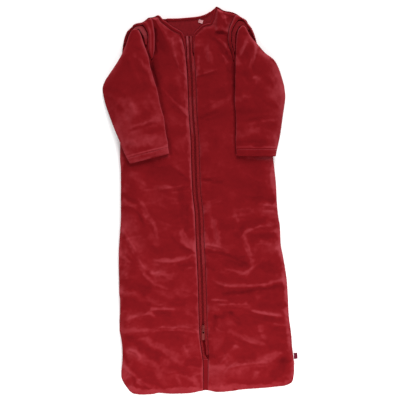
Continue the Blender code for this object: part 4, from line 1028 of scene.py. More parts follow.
# %% Sections of the sleeves: x, y of the outer edge, x, y of the inner edge, thickness
SLEEVE_LEFT = [
    (-152.5, 396, -147, 396.2, 6), (-156.8, 394, -142, 394, 8), (-160, 390, -139, 389.5, 9.5),
    (-163, 383, -136, 382.5, 10), (-167, 372, -132.5, 372, 11), (-171.5, 358, -128.5, 360, 12),
    (-178, 343, -123.5, 346, 12), (-188, 325, -118, 329, 12), (-199, 308, -115, 311, 12),
    (-211, 291, -110, 293, 12), (-220, 277, -105, 276, 12), (-226, 259, -99, 257, 12),
    (-224, 244, -95, 239, 12), (-220, 227, -92, 222, 12), (-214, 208, -87, 204, 12),
    (-206, 186, -82, 186, 12), (-197, 163, -80, 166, 12), (-188, 142, -77, 148, 12),
    (-178, 118, -74, 134, 11), (-168, 96, -73, 122, 10),
]
CUFF_LEFT_END = (-161, 85, -71, 108, 8)
SLEEVE_RIGHT = [
    (102.5, 404, 97.5, 404, 8), (106, 401, 94, 401, 9), (110, 394, 89, 394, 10),
    (116, 382, 86, 382, 11), (124, 372, 85, 371, 12), (136, 359, 84, 358, 12), (150, 343, 84, 342, 12),
    (173, 325, 83, 324, 12), (184, 305, 83, 303, 12), (192, 281, 82, 281, 12), (197, 261, 82, 260, 12),
    (199, 240, 81, 240, 12), (197, 221, 81, 223, 12), (194, 202, 83, 203, 12), (191, 181, 84, 181, 12),
    (188, 160, 84, 160, 12), (184, 139, 83, 139, 11), (179, 118, 84, 117, 10),
]
CUFF_RIGHT_END = (176, 102, 85, 103, 8)


def sleeve_loop(rows, end):
    """The outline of a sleeve with its cuff."""
    outer = [row[0:2] for row in rows] + [end[0:2]]
    inner = [end[2:4]] + [row[2:4] for row in rows[::-1]]
    return np.array(outer + inner, float)


sleeve_loops = [sleeve_loop(SLEEVE_LEFT, CUFF_LEFT_END), sleeve_loop(SLEEVE_RIGHT, CUFF_RIGHT_END)]


def in_the_open(points):
    """1 where a front lies in the open, 0 where a sleeve presses on it, and 12 mm between them."""
    free = np.ones(len(points))
    for loop in sleeve_loops:
        free *= np.clip((-signed(points, loop) - 1.0) / 12.0, 0, 1)
    return free


print("sleeves:", [np.ptp(loop, axis=0).round() for loop in sleeve_loops], "mm")

# %% [markdown]
# ## The fronts
# A padded front stands 12 mm high in its middle and runs down to a thin seam allowance at its
# edges. Beside the zip it is rolled over once, which leaves a small round edge with a dark gap
# next to the tape. The creases and the swell are added to that height.

# %% Height of a front
LOFT, LOFT_RUN = 12.0, 16.0
ZIP_EDGE_LOFT, ZIP_ROLL_LOFT, ZIP_ROLL_RUN, ZIP_VALLEY_RUN = 3.4, 4.0, 4.0, 60.0
LOWER_CREASES, UPPER_CREASES, FOLD_SHARE, SWELL = 150, 42, 0.45, 0.8


def flap(points):
    """The turned shoulder seam, right: a plateau with a steep lower and inner edge."""
    x, y = points[:, 0], points[:, 1]
    return 3.0 * step(x, 34, 42) * step(y, 386, 392) * (1 - step(x, 58, 82))


def pressed_beside_sleeves(points):
    """A bell-shaped groove beside each sleeve's edge, deepest at the armhole, shallow at the cuff."""
    deep = 0.6 + 1.6 * step(points[:, 1], 104, 135) + 4.3 * step(points[:, 1], 200, 330)
    groove = np.zeros(len(points))
    for loop in sleeve_loops:
        groove -= deep * np.exp(-(((-signed(points, loop) - 2.5) / 5.5) ** 2))
    return groove


def front_creases(points, side, seed):
    """Large creases, small ones that lie level below and slant above, and the wadding's swell."""
    (left, low), (right, high) = points.min(axis=0), points.max(axis=0)
    lower = small_creases(seed, LOWER_CREASES, (left, low, right, 95), 0, 34)
    upper = small_creases(seed + 1, UPPER_CREASES, (left, 60, right, high), -50 * side, 40)
    small = creases(points, lower, 0.3) + creases(points, upper, 0.2) * 0.8
    share = FOLD_SHARE + 0.15 * step(points[:, 1], 80, 200)
    return share * (creases(points, FOLDS, 0.3) + 0.8 * small) + SWELL * swell(points, seed + 2, 60)


def seam_pull(far, place, seed, size, amount, fade, start):
    """Little pulls beside a seam, none on it, and fading away like exp(-distance / fade)."""
    return amount * puckers(place, seed, size) * np.exp(-far / fade) * step(far, 0, start)


def front_height(front, points, seed):
    """Height of a front's outer face.

    The wadding rises from its seams like 1 - exp(-distance / run). Beside the zip it rises by a
    quick small roll and then by a wide S-curve. Creases fade out at all edges, and where a sleeve
    lies on the front.
    """
    seams = [front.outer, front.neck, front.hem]
    near = [nearest(points, along(edge, 120)) for edge in seams]
    to_seam = np.min([found[0] for found in near], axis=0)
    to_zip, zip_place = nearest(points, front.zip_edge[::2])
    seam = SEAM_EDGE + LOFT * (1 - np.exp(-to_seam / LOFT_RUN))
    valley = step(to_zip, 0, ZIP_VALLEY_RUN)
    roll = ZIP_ROLL_LOFT * (1 - np.exp(-to_zip / ZIP_ROLL_RUN))
    rest = LOFT + SEAM_EDGE - ZIP_EDGE_LOFT - ZIP_ROLL_LOFT
    base = seam * (ZIP_EDGE_LOFT + roll + rest * valley) / (LOFT + SEAM_EDGE)
    free = in_the_open(points)
    ease = step(to_seam, 0, 11) * step(to_zip, 0, 7)
    folds = front_creases(points, front.side, seed) * ease * free
    folds += flap(points) * step(to_seam, 0, 5)
    pull = seam_pull(to_seam, near[0][1], seed + 3, 17, 0.9, 13, 4)
    pull += seam_pull(to_zip, zip_place, seed + 4, 21, 0.5, 15, 3)
    folds += pull * free + pressed_beside_sleeves(points) * step(to_seam, 0, 6)
    return INNER_FACE + np.maximum(base + folds, SEAM_EDGE)


def build_front(name, side, seed, columns=124, rows=640):
    """A closed pad: the outer face with its creases, and a flat inner face, tucked in a little."""
    front = fronts[side]
    plan = front.grid(columns, rows, 0.5)
    height = front_height(front, plan.reshape(-1, 2), seed)
    top = np.dstack([plan, height.reshape(rows, columns)])
    shape = pad(top, INNER_FACE, 1.2)
    made = piece(f"velour_front_{name}", shape, velour, "velour", brushed_and_painted_light=BRUSHED_AND_PAINTED_LIGHT + DABS)
    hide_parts(f"front_panel_{name}")
    return plan


left_plan = build_front("left", -1, 11)
right_plan = build_front("right", 1, 23)

# %% [markdown]
# ## The back
# The sack lies on its back, so the padding is pressed flat below, and its edge curls up to the
# side seam. The inner side shows only in the neck. The seam pulls little puckers into the curl,
# and a few soft creases run over the underside, as they do on the front.

# %% The back as one padded sheet
BACK_CURL, BACK_FLAT, BACK_CUT_LARGER = 8.0, (0.425, 0.925), 1.05
BACK_CREASES = [
    (-150, 250, -60, 225, 16, 2.2, 6), (40, 190, 130, 215, 15, 2, -5), (-140, 60, -30, 85, 17, 2.4, 8),
    (10, 20, 150, -15, 15, 2.2, -9), (-160, -110, -40, -140, 16, 2.3, 7),
    (50, -170, 180, -150, 15, 2, 5), (-120, -280, 20, -260, 16, 2.4, -8),
    (60, -330, 190, -345, 15, 2.2, 4), (-100, 350, 30, 335, 18, 2, 10),
    (-90, -390, 60, -400, 14, 1.8, 6),
]


def build_back(columns=104, rows=240):
    """Flat above, and below a quarter circle from the seam down to the surface it lies on.

    The upper face's rim is drawn in a little, so the side wall slopes.
    """
    u, v = spread(columns, 0.82), spread(rows, 0.82)
    corner_left = [HEM[0]] + [(row[1], row[0]) for row in SIDES[1:-1]] + SHOULDER_LEFT
    corner_right = [HEM[-1]] + [(row[2], row[0]) for row in SIDES[2:-1]] + SHOULDER_RIGHT[::-1]
    left = up_edge(np.array(corner_left, float), v)
    right = up_edge(np.array(corner_right, float), v)
    plan = patch(left, right, at_shares(HEM, u), at_shares(BACK_NECK, u), u, v)
    flat = plan.reshape(-1, 2)
    far, place = nearest(flat, np.vstack([body_edge, body_edge[:1]]))
    curl = 1 - np.clip(far / BACK_CURL, 0, 1)
    under = (BACK_THICK - SEAM_EDGE) * (1 - np.sqrt(1 - curl**2))
    pull = np.maximum(0.5 + 0.5 * puckers(place, 5, 16), 0)
    under += 1.3 * pull * step(far, 0, 3) * np.exp(-far / 6) * (1 - curl * 0.5)
    under += np.maximum(creases(flat, BACK_CREASES) * step(far, 10, 30), 0)
    low = np.dstack([plan, under.reshape(rows, columns)])
    top = np.dstack([plan, np.full((rows, columns), BACK_THICK)])
    for side in (top, top[::-1], top.swapaxes(0, 1), top.swapaxes(0, 1)[::-1]):
        side[0] = 0.4 * side[0] + 0.6 * side[1]
    made = piece("velour_back", plate(top, low), velour, "velour")
    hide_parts("back_panel")


build_back()

# %% [markdown]
# ## Sleeves and cuffs
# A sleeve is a tube that has been pressed flat, so its section is a squarish oval. It is carried
# through the sections of the pattern, and it climbs over whatever lies beneath it: the front, the
# edge of the back, or nothing. A wall inside makes it a real tube, open at the cuff.

# %% What a sleeve lies on: distance inside an edge, height
COVER_FRONT = [
    (-70, 1), (-45, 1.4), (-30, 5.5), (-15, 12), (0, 18.5), (12, 23), (25, 25.2), (40, 25.9),
    (70, 26.2), (200, 26.3),
]
COVER_BACK = [
    (-60, 1), (-38, 2), (-20, 8.5), (-9, 12.8), (0, 13.8), (12, 13.4), (400, 13.4),
]


def resting_height(points):
    """The highest of what lies below: over the back's edge, or over a front."""
    height = smooth_column(COVER_BACK, signed(points, body_edge))
    for loop in front_loops:
        height = np.maximum(height, smooth_column(COVER_FRONT, signed(points, loop)))
    return height


def softened(grid, times):
    """A grid of heights, each one meant with its neighbours in both ways, several times over."""
    for _ in range(times):
        for _ in range(2):
            wide = np.concatenate([grid[:1], grid, grid[-1:]])
            grid = (wide[:-2] + 2 * grid + wide[2:]).T / 4
    return grid


# %% Creases of the sleeves, and how their pile lies, with painted light and shade: the same columns as for the fronts
SLEEVE_FOLDS = [
    (-160, 166, -130, 168, 8, 2.4), (-130, 170, -90, 187, 8, 3, 4), (-160, 157, -98, 176, 9, -2.2, 3),
    (-168, 134, -146, 134, 8, 2.2), (-158, 222, -152, 202, 16, 2.2),
    (-140, 326, -118, 289, 12, 3.4, -2), (-146, 300, -128, 262, 16, -2),
    (-200, 262, -170, 240, 16, 2, 3), (-185, 205, -165, 178, 14, -1.8, 4),
    (-120, 240, -104, 205, 14, 2), (-210, 240, -186, 214, 11, 1.8, 4), (-170, 330, -158, 296, 13, 2, 4),
    (94, 330, 111, 366, 8, 3.8, -2), (104, 318, 122, 352, 10, -2.6, -2), (117, 310, 127, 367, 9, 4, -4),
    (129, 322, 138, 352, 10, -2.4), (124, 284, 131, 262, 16, 3.2), (92, 258, 104, 228, 18, 3.2),
    (105, 177, 175, 187, 11, -2.6, 2), (107, 187, 172, 197, 12, 1.6, 2), (95, 133, 140, 132, 11, -2.6),
    (150, 290, 172, 262, 14, 2.2, 4), (140, 235, 168, 214, 15, -2, -3), (100, 205, 122, 214, 10, 1.8),
    (168, 232, 186, 205, 13, 2.2, 3), (98, 290, 112, 268, 12, -2.2),
]
SLEEVE_BRUSHED_AND_PAINTED_LIGHT = [
    # left sleeve, with painted highlights along the cuff and painted shade on the cap's lit edge
    (-150, 340, -127, 308, 11, 0.9, -2), (-118, 302, -107, 267, 7, 0.8), (-158, 220, -153, 204, 9, 0.7),
    (-159, 166, -127, 177, 5, 1.1, 1), (-127, 177, -92, 183, 5, 1.1, 1), (-165, 132, -147, 132, 6, 1.1),
    (-179, 195, -156, 112, 30, 0.75), (-160, 205, -135, 140, 36, 0.4), (-150, 129, -116, 134, 15, 0.8),
    (-133, 150, -86, 128, 24, 0.7), (-175, 192, -95, 180, 20, 0.4), (-172, 132, -145, 126, 16, 0.7),
    (-118, 235, -100, 185, 20, 0.5), (-175, 225, -150, 210, 22, 0.45), (-192, 170, -172, 110, 12, 0.8),
    (-105, 262, -90, 190, 7, 0.2), (-168, 100, -73, 126, 5, 1.2), (-162, 87, -72, 110, 4, 1.2),
    (-164, 90, -71, 114, 15, 1.3), (-140, 132, -90, 150, 42, 0.3), (-205, 270, -135, 300, 42, -0.4),
    (-147, 256, -104, 264, 17, -0.6), (-130, 155, -86, 166, 10, -0.5), (-185, 215, -176, 186, 13, -0.4),
    (-156, 394, -141, 393, 6, -2), (-158, 383, -146, 350, 18, -0.6), (-176, 372, -200, 318, 8, -0.8),
    (-138, 330, -124, 300, 9, -0.4),
    # right sleeve, with painted highlights along the cuff and painted shade on the cap's lit edges
    (90, 319, 108, 369, 9, 0.9, 2), (117, 308, 130, 363, 8, 1.1, -3), (122, 267, 137, 285, 13, 0.6),
    (85, 232, 108, 235, 13, 0.6), (100, 290, 130, 255, 26, -0.5), (176, 302, 193, 256, 13, 0.9, 3),
    (193, 256, 190, 203, 12, 0.8, 2), (146, 232, 180, 256, 22, 0.4), (90, 151, 134, 163, 18, 0.6),
    (175, 148, 180, 128, 8, 0.8), (85, 123, 180, 123, 5, 0.8), (86, 106, 176, 105, 4, 0.7),
    (88, 302, 114, 290, 20, -0.6), (131, 302, 163, 276, 22, -0.4), (96, 209, 163, 212, 20, -0.8),
    (131, 177, 175, 172, 13, -0.8), (88, 131, 148, 131, 10, -1), (88, 340, 96, 325, 8, -0.9),
    (124, 378, 152, 345, 8, -2), (150, 345, 186, 312, 9, -1.2), (104, 254, 146, 230, 24, -0.5),
    (106, 230, 144, 226, 10, -0.9), (133, 334, 124, 302, 7, -0.6), (95, 395, 112, 385, 12, -0.4),
    (108, 340, 112, 318, 8, -0.5),
]
print("sleeve creases:", len(SLEEVE_FOLDS), "brush marks:", len(SLEEVE_BRUSHED_AND_PAINTED_LIGHT))

# %% Rings of a sleeve
SLEEVE_ACROSS, SLEEVE_CROWN, SLEEVE_SQUARE = 92, 3.0, 2.7
SLEEVE_WALL, CUFF_WALL, CUFF_LIP = 4.5, 4.0, 0.8


def sleeve_rings(sections, seed, slim, cloth):
    """Rings of a flat tube: across runs sin t, up runs (1 - |sin t|^n)^(1/n), on what lies below.

    The upper side follows what lies below only in its broad shape, as wadding does: its height is
    smoothed with its neighbours, but never lies more than 2 mm under it before the last smoothing.
    slim is the share of the thickness at each ring, cloth how much of the creases it takes.
    """
    x = np.sin(np.linspace(-1, 1, SLEEVE_ACROSS) * math.pi / 2)
    up = (1 - np.abs(x) ** SLEEVE_SQUARE) ** (1 / SLEEVE_SQUARE)
    start, end, thick = sections[:, None, 0:2], sections[:, None, 2:4], sections[:, 4:5]
    width = np.linalg.norm(end - start, axis=-1)
    plan = start + (end - start) * (0.5 + 0.5 * x)[None, :, None]
    flat = plan.reshape(-1, 2)
    base = softened(resting_height(flat).reshape(plan.shape[:2]), 6)
    broad = softened(np.maximum(softened(base, 110), base - 2.0), 24)
    box = (flat[:, 0].min(), flat[:, 1].min(), flat[:, 0].max(), flat[:, 1].max())
    small = small_creases(seed, 30, box, 20, 45, 45, 1.0)
    fold = creases(flat, SLEEVE_FOLDS, 0.25) + creases(flat, small, 0.2) + 0.6 * swell(flat, seed, 46)
    fold = 0.7 * np.maximum(fold.reshape(base.shape), -3.0) * up**2 * cloth[:, None]
    dome = SLEEVE_CROWN * np.minimum(width / 60, 1.0) * (1 - np.abs(x) ** 2.5)
    upper = broad + thick / 2 + up * (thick / 2 + dome) * slim[:, None] + fold
    lower = base + thick / 2 - up * thick / 2
    return np.concatenate([np.dstack([plan, upper]), np.dstack([plan, lower])[:, -2:0:-1]], axis=1)


def inner_rings(rings, wall):
    """The rings again, drawn in by the wall towards the middle of each ring, and flatter."""
    plan = rings[..., :2]
    middle = plan.mean(axis=1, keepdims=True)
    half = np.abs(plan - middle).max(axis=(1, 2), keepdims=True)
    keep = np.maximum(1 - wall / half, 0.35)
    count = rings.shape[1]
    high, other = rings[..., 2], rings[:, -np.arange(count) % count, 2]
    return np.dstack([middle + (plan - middle) * keep, (high + other) / 2 + (high - other) / 2 * 0.28])


# %% Building a sleeve with its cuff
def tube_shape(rings, inner, lip=0.0):
    """Outer rings, a rounded lip at the open end, then the inner rings back: one closed skin."""
    way = rings[-1] - rings[-2]
    way = way / np.linalg.norm(way, axis=1, keepdims=True)
    brim = 0.5 * (rings[-1] + inner[-1]) + way * lip
    first = 0.5 * (rings[0] + inner[0])
    return hoop(np.concatenate([rings, brim[None], inner[::-1], first[None]]))


# shares of the way down the cuff, the order of columns that swaps a section's edges, and the place
# in a ring that is on top
CUFF_STEPS = np.array([0, 0.05, 0.12, 0.2, 0.32, 0.45, 0.6, 0.72, 0.82, 0.9, 0.96, 1])[:, None]
SWAPPED_EDGES, ON_TOP = [2, 3, 0, 1, 4], 40


def sleeve_sections(rows, end):
    """Sections of a sleeve, closer together at its seam, then of its cuff a seam's gap beyond."""
    table, end = np.array(rows, float), np.array(end, float)
    if table[0, 0] > table[0, 2]:
        table, end = table[:, SWAPPED_EDGES], end[SWAPPED_EDGES]
    way = end[:4] - table[-1, :4]
    start = table[-1].copy()
    start[:4] += way * SEAM_GAP / np.linalg.norm((way[:2] + way[2:]) / 2)
    at = np.concatenate([np.linspace(0, 0.96, 112), np.linspace(0.966, 1, 12)])
    sleeve = smooth_rows(at, np.linspace(0, 1, len(table)), table)
    return sleeve, start + (end - start) * CUFF_STEPS


def build_tube(kind, name, rings, wall, lip=0.0):
    """A sleeve or a cuff as a finished piece that replaces its node, and the size of its cloth."""
    shape = tube_shape(rings, inner_rings(rings, wall), lip)
    made = piece(f"velour_{kind}_{name}", shape, velour, "velour", brushed_and_painted_light=SLEEVE_BRUSHED_AND_PAINTED_LIGHT)
    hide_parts(f"{kind}_{name}")
    around = np.linalg.norm(np.diff(rings, axis=1), axis=2).sum(axis=1)
    return made, around, run_along(rings[:, ON_TOP])[-1]


def build_sleeve(name, rows, end, seed):
    """The sleeve through its sections, then the cuff band.

    The tube is pinched at the seam between them, with a welt above it, and again at its hem.
    """
    sleeve, cuff = sleeve_sections(rows, end)
    sections = np.vstack([sleeve, cuff])
    run = run_along((sections[:, 0:2] + sections[:, 2:4]) / 2)
    seam, hem = run[len(sleeve)] - run, run[-1] - run
    slim = 1 - 0.08 * np.exp(-((seam / 1.3) ** 2)) + 0.07 * np.exp(-(((seam - 3.2) / 1.4) ** 2))
    slim = slim - 0.3 * np.exp(-((hem / 1.2) ** 2)) - 0.18 * np.exp(-((hem / 5) ** 2))
    rings = sleeve_rings(sections, seed, slim, 0.35 + 0.65 * step(seam, 0, 14))
    made, around, long = build_tube("sleeve", name, rings[: len(sleeve)], SLEEVE_WALL)
    made, around, long = build_tube("cuff", name, rings[len(sleeve) :], CUFF_WALL, CUFF_LIP)


build_sleeve("left", SLEEVE_LEFT, CUFF_LEFT_END, 41)
build_sleeve("right", SLEEVE_RIGHT, CUFF_RIGHT_END, 57)

# %% [markdown]
# ## Rims, tapes and bindings
# The neck is bound with a strip of velour, and a folded rim covers the zip that holds each sleeve
# in its armhole. All of them are strips, so one function carries a rounded section between two
# edges: a squarish oval whose upper half may have ridges of its own.

# %% A strip with rounded edges
STRIP_SQUARE = 3.2


def round_power(value, power):
    """A power of each value's size, with the value's own sign."""
    return np.sign(value) * np.abs(value) ** power


def whole_turn(count):
    """Angles evenly round a circle."""
    return np.linspace(0, 2 * math.pi, count, endpoint=False)


def soft_strip(table, low, around=22, per_row=6, relief=None):
    """Rings between two edges: x, y of each edge and the height of each, down to low.

    The section is a superellipse: |across|^n + |up|^n = 1. Also the chart, length and width.
    """
    table = np.array(table, float)
    at = np.linspace(0, len(table) - 1, (len(table) - 1) * per_row + 1)
    edge = smooth_rows(at, np.arange(len(table)), table)
    turn = whole_turn(around) + math.pi / around
    x = round_power(np.cos(turn), 2 / STRIP_SQUARE)
    up = round_power(np.sin(turn), 2 / STRIP_SQUARE)
    share = (0.5 + 0.5 * x)[None]
    a, b = edge[:, None, 0:2], edge[:, None, 2:4]
    plan = a + (b - a) * share[..., None]
    top = edge[:, 4:5] + (edge[:, 5:6] - edge[:, 4:5]) * share
    height = (top + low) / 2 + (top - low) / 2 * up[None]
    run = run_along((edge[:, 0:2] + edge[:, 2:4]) / 2)
    if relief is not None:
        height = height + relief(share, run[:, None]) * np.clip(up, 0, 1)[None]
    rings = np.dstack([plan, height])
    width = np.linalg.norm(edge[:, 2:4] - edge[:, 0:2], axis=1)
    chart = np.dstack([share * width[:, None], np.broadcast_to(run[:, None], height.shape)])
    return rings, chart.reshape(-1, 2), float(run[-1]), float(width.mean())


def build_strip(name, node, table, finish, slot, rests, brushed_and_painted_light=(), **shape):
    """A strip as a finished piece that replaces its node."""
    rings, chart, long, _ = soft_strip(table, INNER_FACE, **shape)
    made = piece(name, hose(rings), finish, slot, chart=chart, brushed_and_painted_light=brushed_and_painted_light)
    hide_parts(node)


# %% Armhole rims: x, y towards the body, x, y towards the sleeve, height of each
RIM_LEFT = [
    (-110, 328, -112.5, 329, 15.5, 17), (-107, 337, -115.5, 337, 16, 19),
    (-104.6, 353, -119, 353, 16, 21), (-104.4, 379, -119, 379, 16, 21),
    (-106.8, 402, -124, 396, 16, 20), (-113, 422, -134, 407, 16, 18),
    (-132, 413, -140.5, 404, 16.5, 17), (-149, 409, -149.5, 403, 16.5, 17),
    (-158, 400, -156, 396, 16, 16), (-168, 390, -164, 387, 16, 16),
    (-173, 377, -168.5, 375, 15.5, 15.5), (-176.5, 362, -172, 361, 15.5, 15.5),
]
RIM_RIGHT = [
    (77.4, 326, 80.4, 326, 15.5, 17), (73.6, 344, 78.6, 344, 16, 19.5), (68.8, 357, 74.6, 357, 16, 21),
    (65.7, 372, 72.6, 372, 16, 21), (66.8, 388, 73, 388, 16, 21), (70, 402, 77, 400, 16, 20),
    (75.6, 415, 83, 409.5, 16, 19), (84.2, 429.5, 90, 418, 16.5, 18), (93, 426, 97, 419, 16.5, 17.5),
    (105, 418, 104, 413, 16.5, 17), (112, 408, 109, 405, 16, 16), (118, 401, 115, 397.5, 16, 16),
    (124.5, 389, 120.5, 386.5, 16, 16), (129, 375, 125.5, 375, 15.5, 15.5),
]
TAPE_LEFT = [
    (-122, 360, -126.5, 362, 17, 20), (-121, 380, -130, 378, 16, 21),
    (-126.5, 395, -137.5, 390, 16, 21), (-135, 404.5, -142.5, 396, 16, 20),
    (-149.5, 401.5, -150.5, 395, 16, 19), (-156.5, 394.3, -157.5, 392, 15, 17),
    (-160.8, 389.5, -160.4, 388, 14.5, 15.5),
]
TAPE_RIGHT = [
    (79.2, 345, 82.5, 345, 17, 19), (73.6, 368, 81.5, 368, 16, 19), (73.8, 386, 83.5, 386, 16, 20),
    (77.8, 399.6, 87.5, 394, 16, 20), (84, 410, 92.5, 401.5, 16, 20), (91.8, 416, 96.5, 402.5, 16, 19),
    (103, 412.8, 102.5, 403, 16, 18), (109, 404.8, 106.5, 398.5, 15, 17),
    (114.6, 397, 112, 394, 14.5, 15.5),
]
# Painted shade on the rims where they meet the valleys beside them, and one lighter mark.
RIM_PAINTED_LIGHT_AND_SHADE = [
    (-140, 413, -168, 392, 8, -1.4), (-171, 386, -178, 352, 9, -2), (76, 372, 77, 325, 8, -1.6),
    (-117, 396, -115, 350, 9, 0.5),
]
# Painted light, lifting the shade on the left armhole tape.
ARMHOLE_TAPE_PAINTED_LIGHT = [(-152, 399, -126, 386, 14, 0.3)]


def two_ridges(share, run):
    """Two round ridges with a groove between them, which fade out over the shoulder."""
    ridge = np.exp(-(((share - 0.2) / 0.16) ** 2)) + np.exp(-(((share - 0.74) / 0.18) ** 2))
    return (1.9 * ridge - 0.6) * step(run, 2, 16) * (1 - 0.7 * step(run, 78, 110))


def one_ridge(share, run):
    """One round ridge near the body's side."""
    return 1.2 * np.exp(-(((share - 0.45) / 0.3) ** 2)) * step(run, 2, 12)


for name, table, relief, around in (
    ("left", RIM_LEFT, two_ridges, 40),
    ("right", RIM_RIGHT, one_ridge, 30),
):
    build_strip(f"velour_rim_{name}", f"armhole_rim_{name}", table, velour, "velour",
                f"velour_front_{name}", RIM_PAINTED_LIGHT_AND_SHADE, relief=relief, around=around)
for name, table, marks in (("left", TAPE_LEFT, ARMHOLE_TAPE_PAINTED_LIGHT), ("right", TAPE_RIGHT, ())):
    build_strip(f"woven_armhole_tape_{name}", f"armhole_tape_{name}", table, armhole_tape, "tape",
                f"velour_rim_{name}", marks)

# %% Neck bindings: share of the way down, width, height of each edge
BINDING_LEFT = [
    (0, 4, 14, 14.6), (0.08, 6, 14.2, 15.2), (0.3, 8, 14.3, 15.6), (0.5, 8, 14.3, 15.6),
    (0.62, 7, 14.3, 15.4), (0.74, 5.5, 14.3, 15.2), (0.88, 3.5, 14.3, 15), (1, 1.2, 14.3, 15),
]
BINDING_RIGHT = [
    (0, 3, 14, 14.6), (0.1, 4.5, 14.2, 15.2), (0.3, 5, 14.3, 15.6), (0.6, 5, 14.3, 15.6),
    (0.72, 4.5, 14.3, 15.4), (0.82, 3.5, 14.3, 15.2), (0.92, 2.2, 14.3, 15), (1, 1.2, 14.3, 15),
]
BINDING_BACK = [
    (-74, 415.3, -77, 421.5, 14.3, 16), (-56, 415.5, -56, 421.7, 14.3, 16),
    (-27, 417.5, -27, 423.7, 14.3, 16), (-7, 419.5, -7, 425.7, 14.3, 16),
    (8, 422.5, 6, 428.7, 14.3, 16), (18.5, 427, 16, 432.7, 14.3, 16),
    (26.5, 433, 24, 437.5, 14.3, 15.6),
]
BINDING_LOW = 340.0


def neck_path(plan, side):
    """A front's edge from the tip at the shoulder, along the neckline and down beside the zip."""
    across = plan[-1] if side < 0 else plan[-1, ::-1]
    down = plan[-2::-1, -1] if side < 0 else plan[-2::-1, 0]
    tip = int(np.argmax(across[:, 1])) + 2
    path = np.vstack([across[tip:], down[down[:, 1] > BINDING_LOW]])
    return along(path[::3], 60)


def binding_table(plan, side, table):
    """Both edges of a binding beside a front, on the neck's side of it, and the height of each."""
    path = neck_path(plan, side)
    share = np.linspace(0, 1, len(path))
    width, near_high, far_high = (smooth_column(table, share, k) for k in (1, 2, 3))
    inwards = -side * left_of(np.gradient(path, axis=0))
    near = path + inwards * SEAM_GAP
    far = path + inwards * (SEAM_GAP + width)[:, None]
    return np.column_stack([near, far, near_high, far_high])


def binding_roll(share, run):
    """The strip's round crown and the faint pull of its stitches."""
    return 1.1 * (1 - (2 * share - 1) ** 2) + 0.22 * np.sin(run * 2 * math.pi / 3.2) * (share < 0.35)


left_binding = binding_table(left_plan, -1, BINDING_LEFT)
right_binding = binding_table(right_plan, 1, BINDING_RIGHT)
for name, table, mark in (
    ("left", left_binding, (-110, 425, -30, 330, 90, -0.7)),
    ("right", right_binding, (60, 440, -12, 330, 90, -0.7)),
):
    build_strip(f"velour_binding_{name}", f"neck_binding_{name}", table, velour, "velour",
                f"velour_front_{name}", [mark], relief=binding_roll, per_row=3)
build_strip("velour_binding_back", "neck_binding_back", BINDING_BACK, velour, "velour",
            "velour_back", relief=binding_roll, per_row=14)

# %% [markdown]
# ## The lining in the neck
# Where the fronts open, the inner side of the back shows: a smooth jersey between the bindings,
# with a soft crease or two. It is a thin sheet whose edges follow the bindings' inner edges.

# %% Jersey lining
LINING_TOP, ZIP_TOP, LINING_LARGER = 13.3, 378.0, 1.01
LINING_CREASES = [(-60, 404, 10, 398, 9, 0.8, 6), (-20, 410, 18, 420, 8, 0.6)]


def lining_edge(binding, highest, off, last):
    """A binding's inner edge from the zip up to a height, a little off it, and on to a last point."""
    edge = binding[::-1, 2:4]
    edge = edge[(edge[:, 1] > ZIP_TOP + 1.5) & (edge[:, 1] < highest)] + (off, 0)
    return np.vstack([edge, last[None]])


def build_lining(columns=60, rows=48):
    """A thin sheet between both bindings and the back's binding, raised by swell and creases.

    What it rises by fades out over the last five steps before each edge.
    """
    back = np.array(BINDING_BACK, float)[:, 0:2] + (0.0, 1.2)
    u, v = np.linspace(0, 1, columns), np.linspace(0, 1, rows)
    left = at_shares(lining_edge(left_binding, 412, 0.4, back[0]), v)
    right = at_shares(lining_edge(right_binding, 430, -0.4, back[-1]), v)
    low = left[0] + u[:, None] * (right[0] - left[0])
    plan = patch(left, right, low, at_shares(back, u), u, v)
    flat = plan.reshape(-1, 2)
    rise = 0.35 * swell(flat, 77, 30) + creases(flat, LINING_CREASES)
    rise = np.clip(rise, -0.2, 1.1).reshape(rows, columns)
    edge = np.minimum.outer(np.minimum(v, 1 - v) * rows, np.minimum(u, 1 - u) * columns)
    rise = rise * step(edge, 0, 5)
    top = np.dstack([plan, LINING_TOP + rise])
    under = np.dstack([plan, INNER_FACE + np.maximum(rise, 0)])
    chart = np.vstack([flat, flat])
    made = piece("jersey_lining", plate(top, under), lining, "lining", chart=chart)
    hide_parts("back_neck_lining")


build_lining()

# %% [markdown]
# ## The zip
# Two woven tapes, a coil of teeth between them, a slider and its pull tab. The teeth are closed
# from the neck down to the slider. Below it the two rows part, and you look into a slit, onto a
# strip behind the zip that is coloured dark as painted shade. The coil is one small rounded bar,
# repeated along both sides of the middle, half a step apart.

# %% Zip tapes
ZIP_END, TAPE_INNER, TAPE_TOP, NECK_LOW = -368.0, 1.8, 15.2, 338
# Painted highlight at the tapes' top, painted light along them, and darker towards the zip's low end.
TAPE_PAINTED_LIGHT_AND_SHADE = [
    (-31, 385, -28, 366, 8, 0.9), (-28, 368, -26, 330, 8, 0.3), (-21, 385, -21, 372, 7, 0.35),
    (10, -312, 13, -372, 15, -0.55), (-19, 235, -15, 160, 10, 0.2), (-15, 366, -13, 305, 7, 0.2),
    (5, -90, 8, -145, 14, 0.15),
]


def tape_dish(share, run):
    """The tape rises to a fine cord beside the teeth, and sinks towards the cloth."""
    return 0.5 * np.exp(-(((share - 0.16) / 0.12) ** 2)) - 0.9 * step(share, 0.6, 1.0)


def zip_rise(y):
    """How much the zip climbs towards its top, where the neck pulls it up."""
    return 2.0 * step(y, 285, 350)


def slit_edge(y, side):
    """How far the tape's inner edge is from the zip's middle: below the slider the tapes part.

    At its low end the left tape swings over to the right and closes the slit.
    """
    edge = side * (TAPE_INNER + 0.6 * step(-y, 305, 325))
    return edge + (7.6 * step(-y, 353, 364) if side < 0 else 0.0)


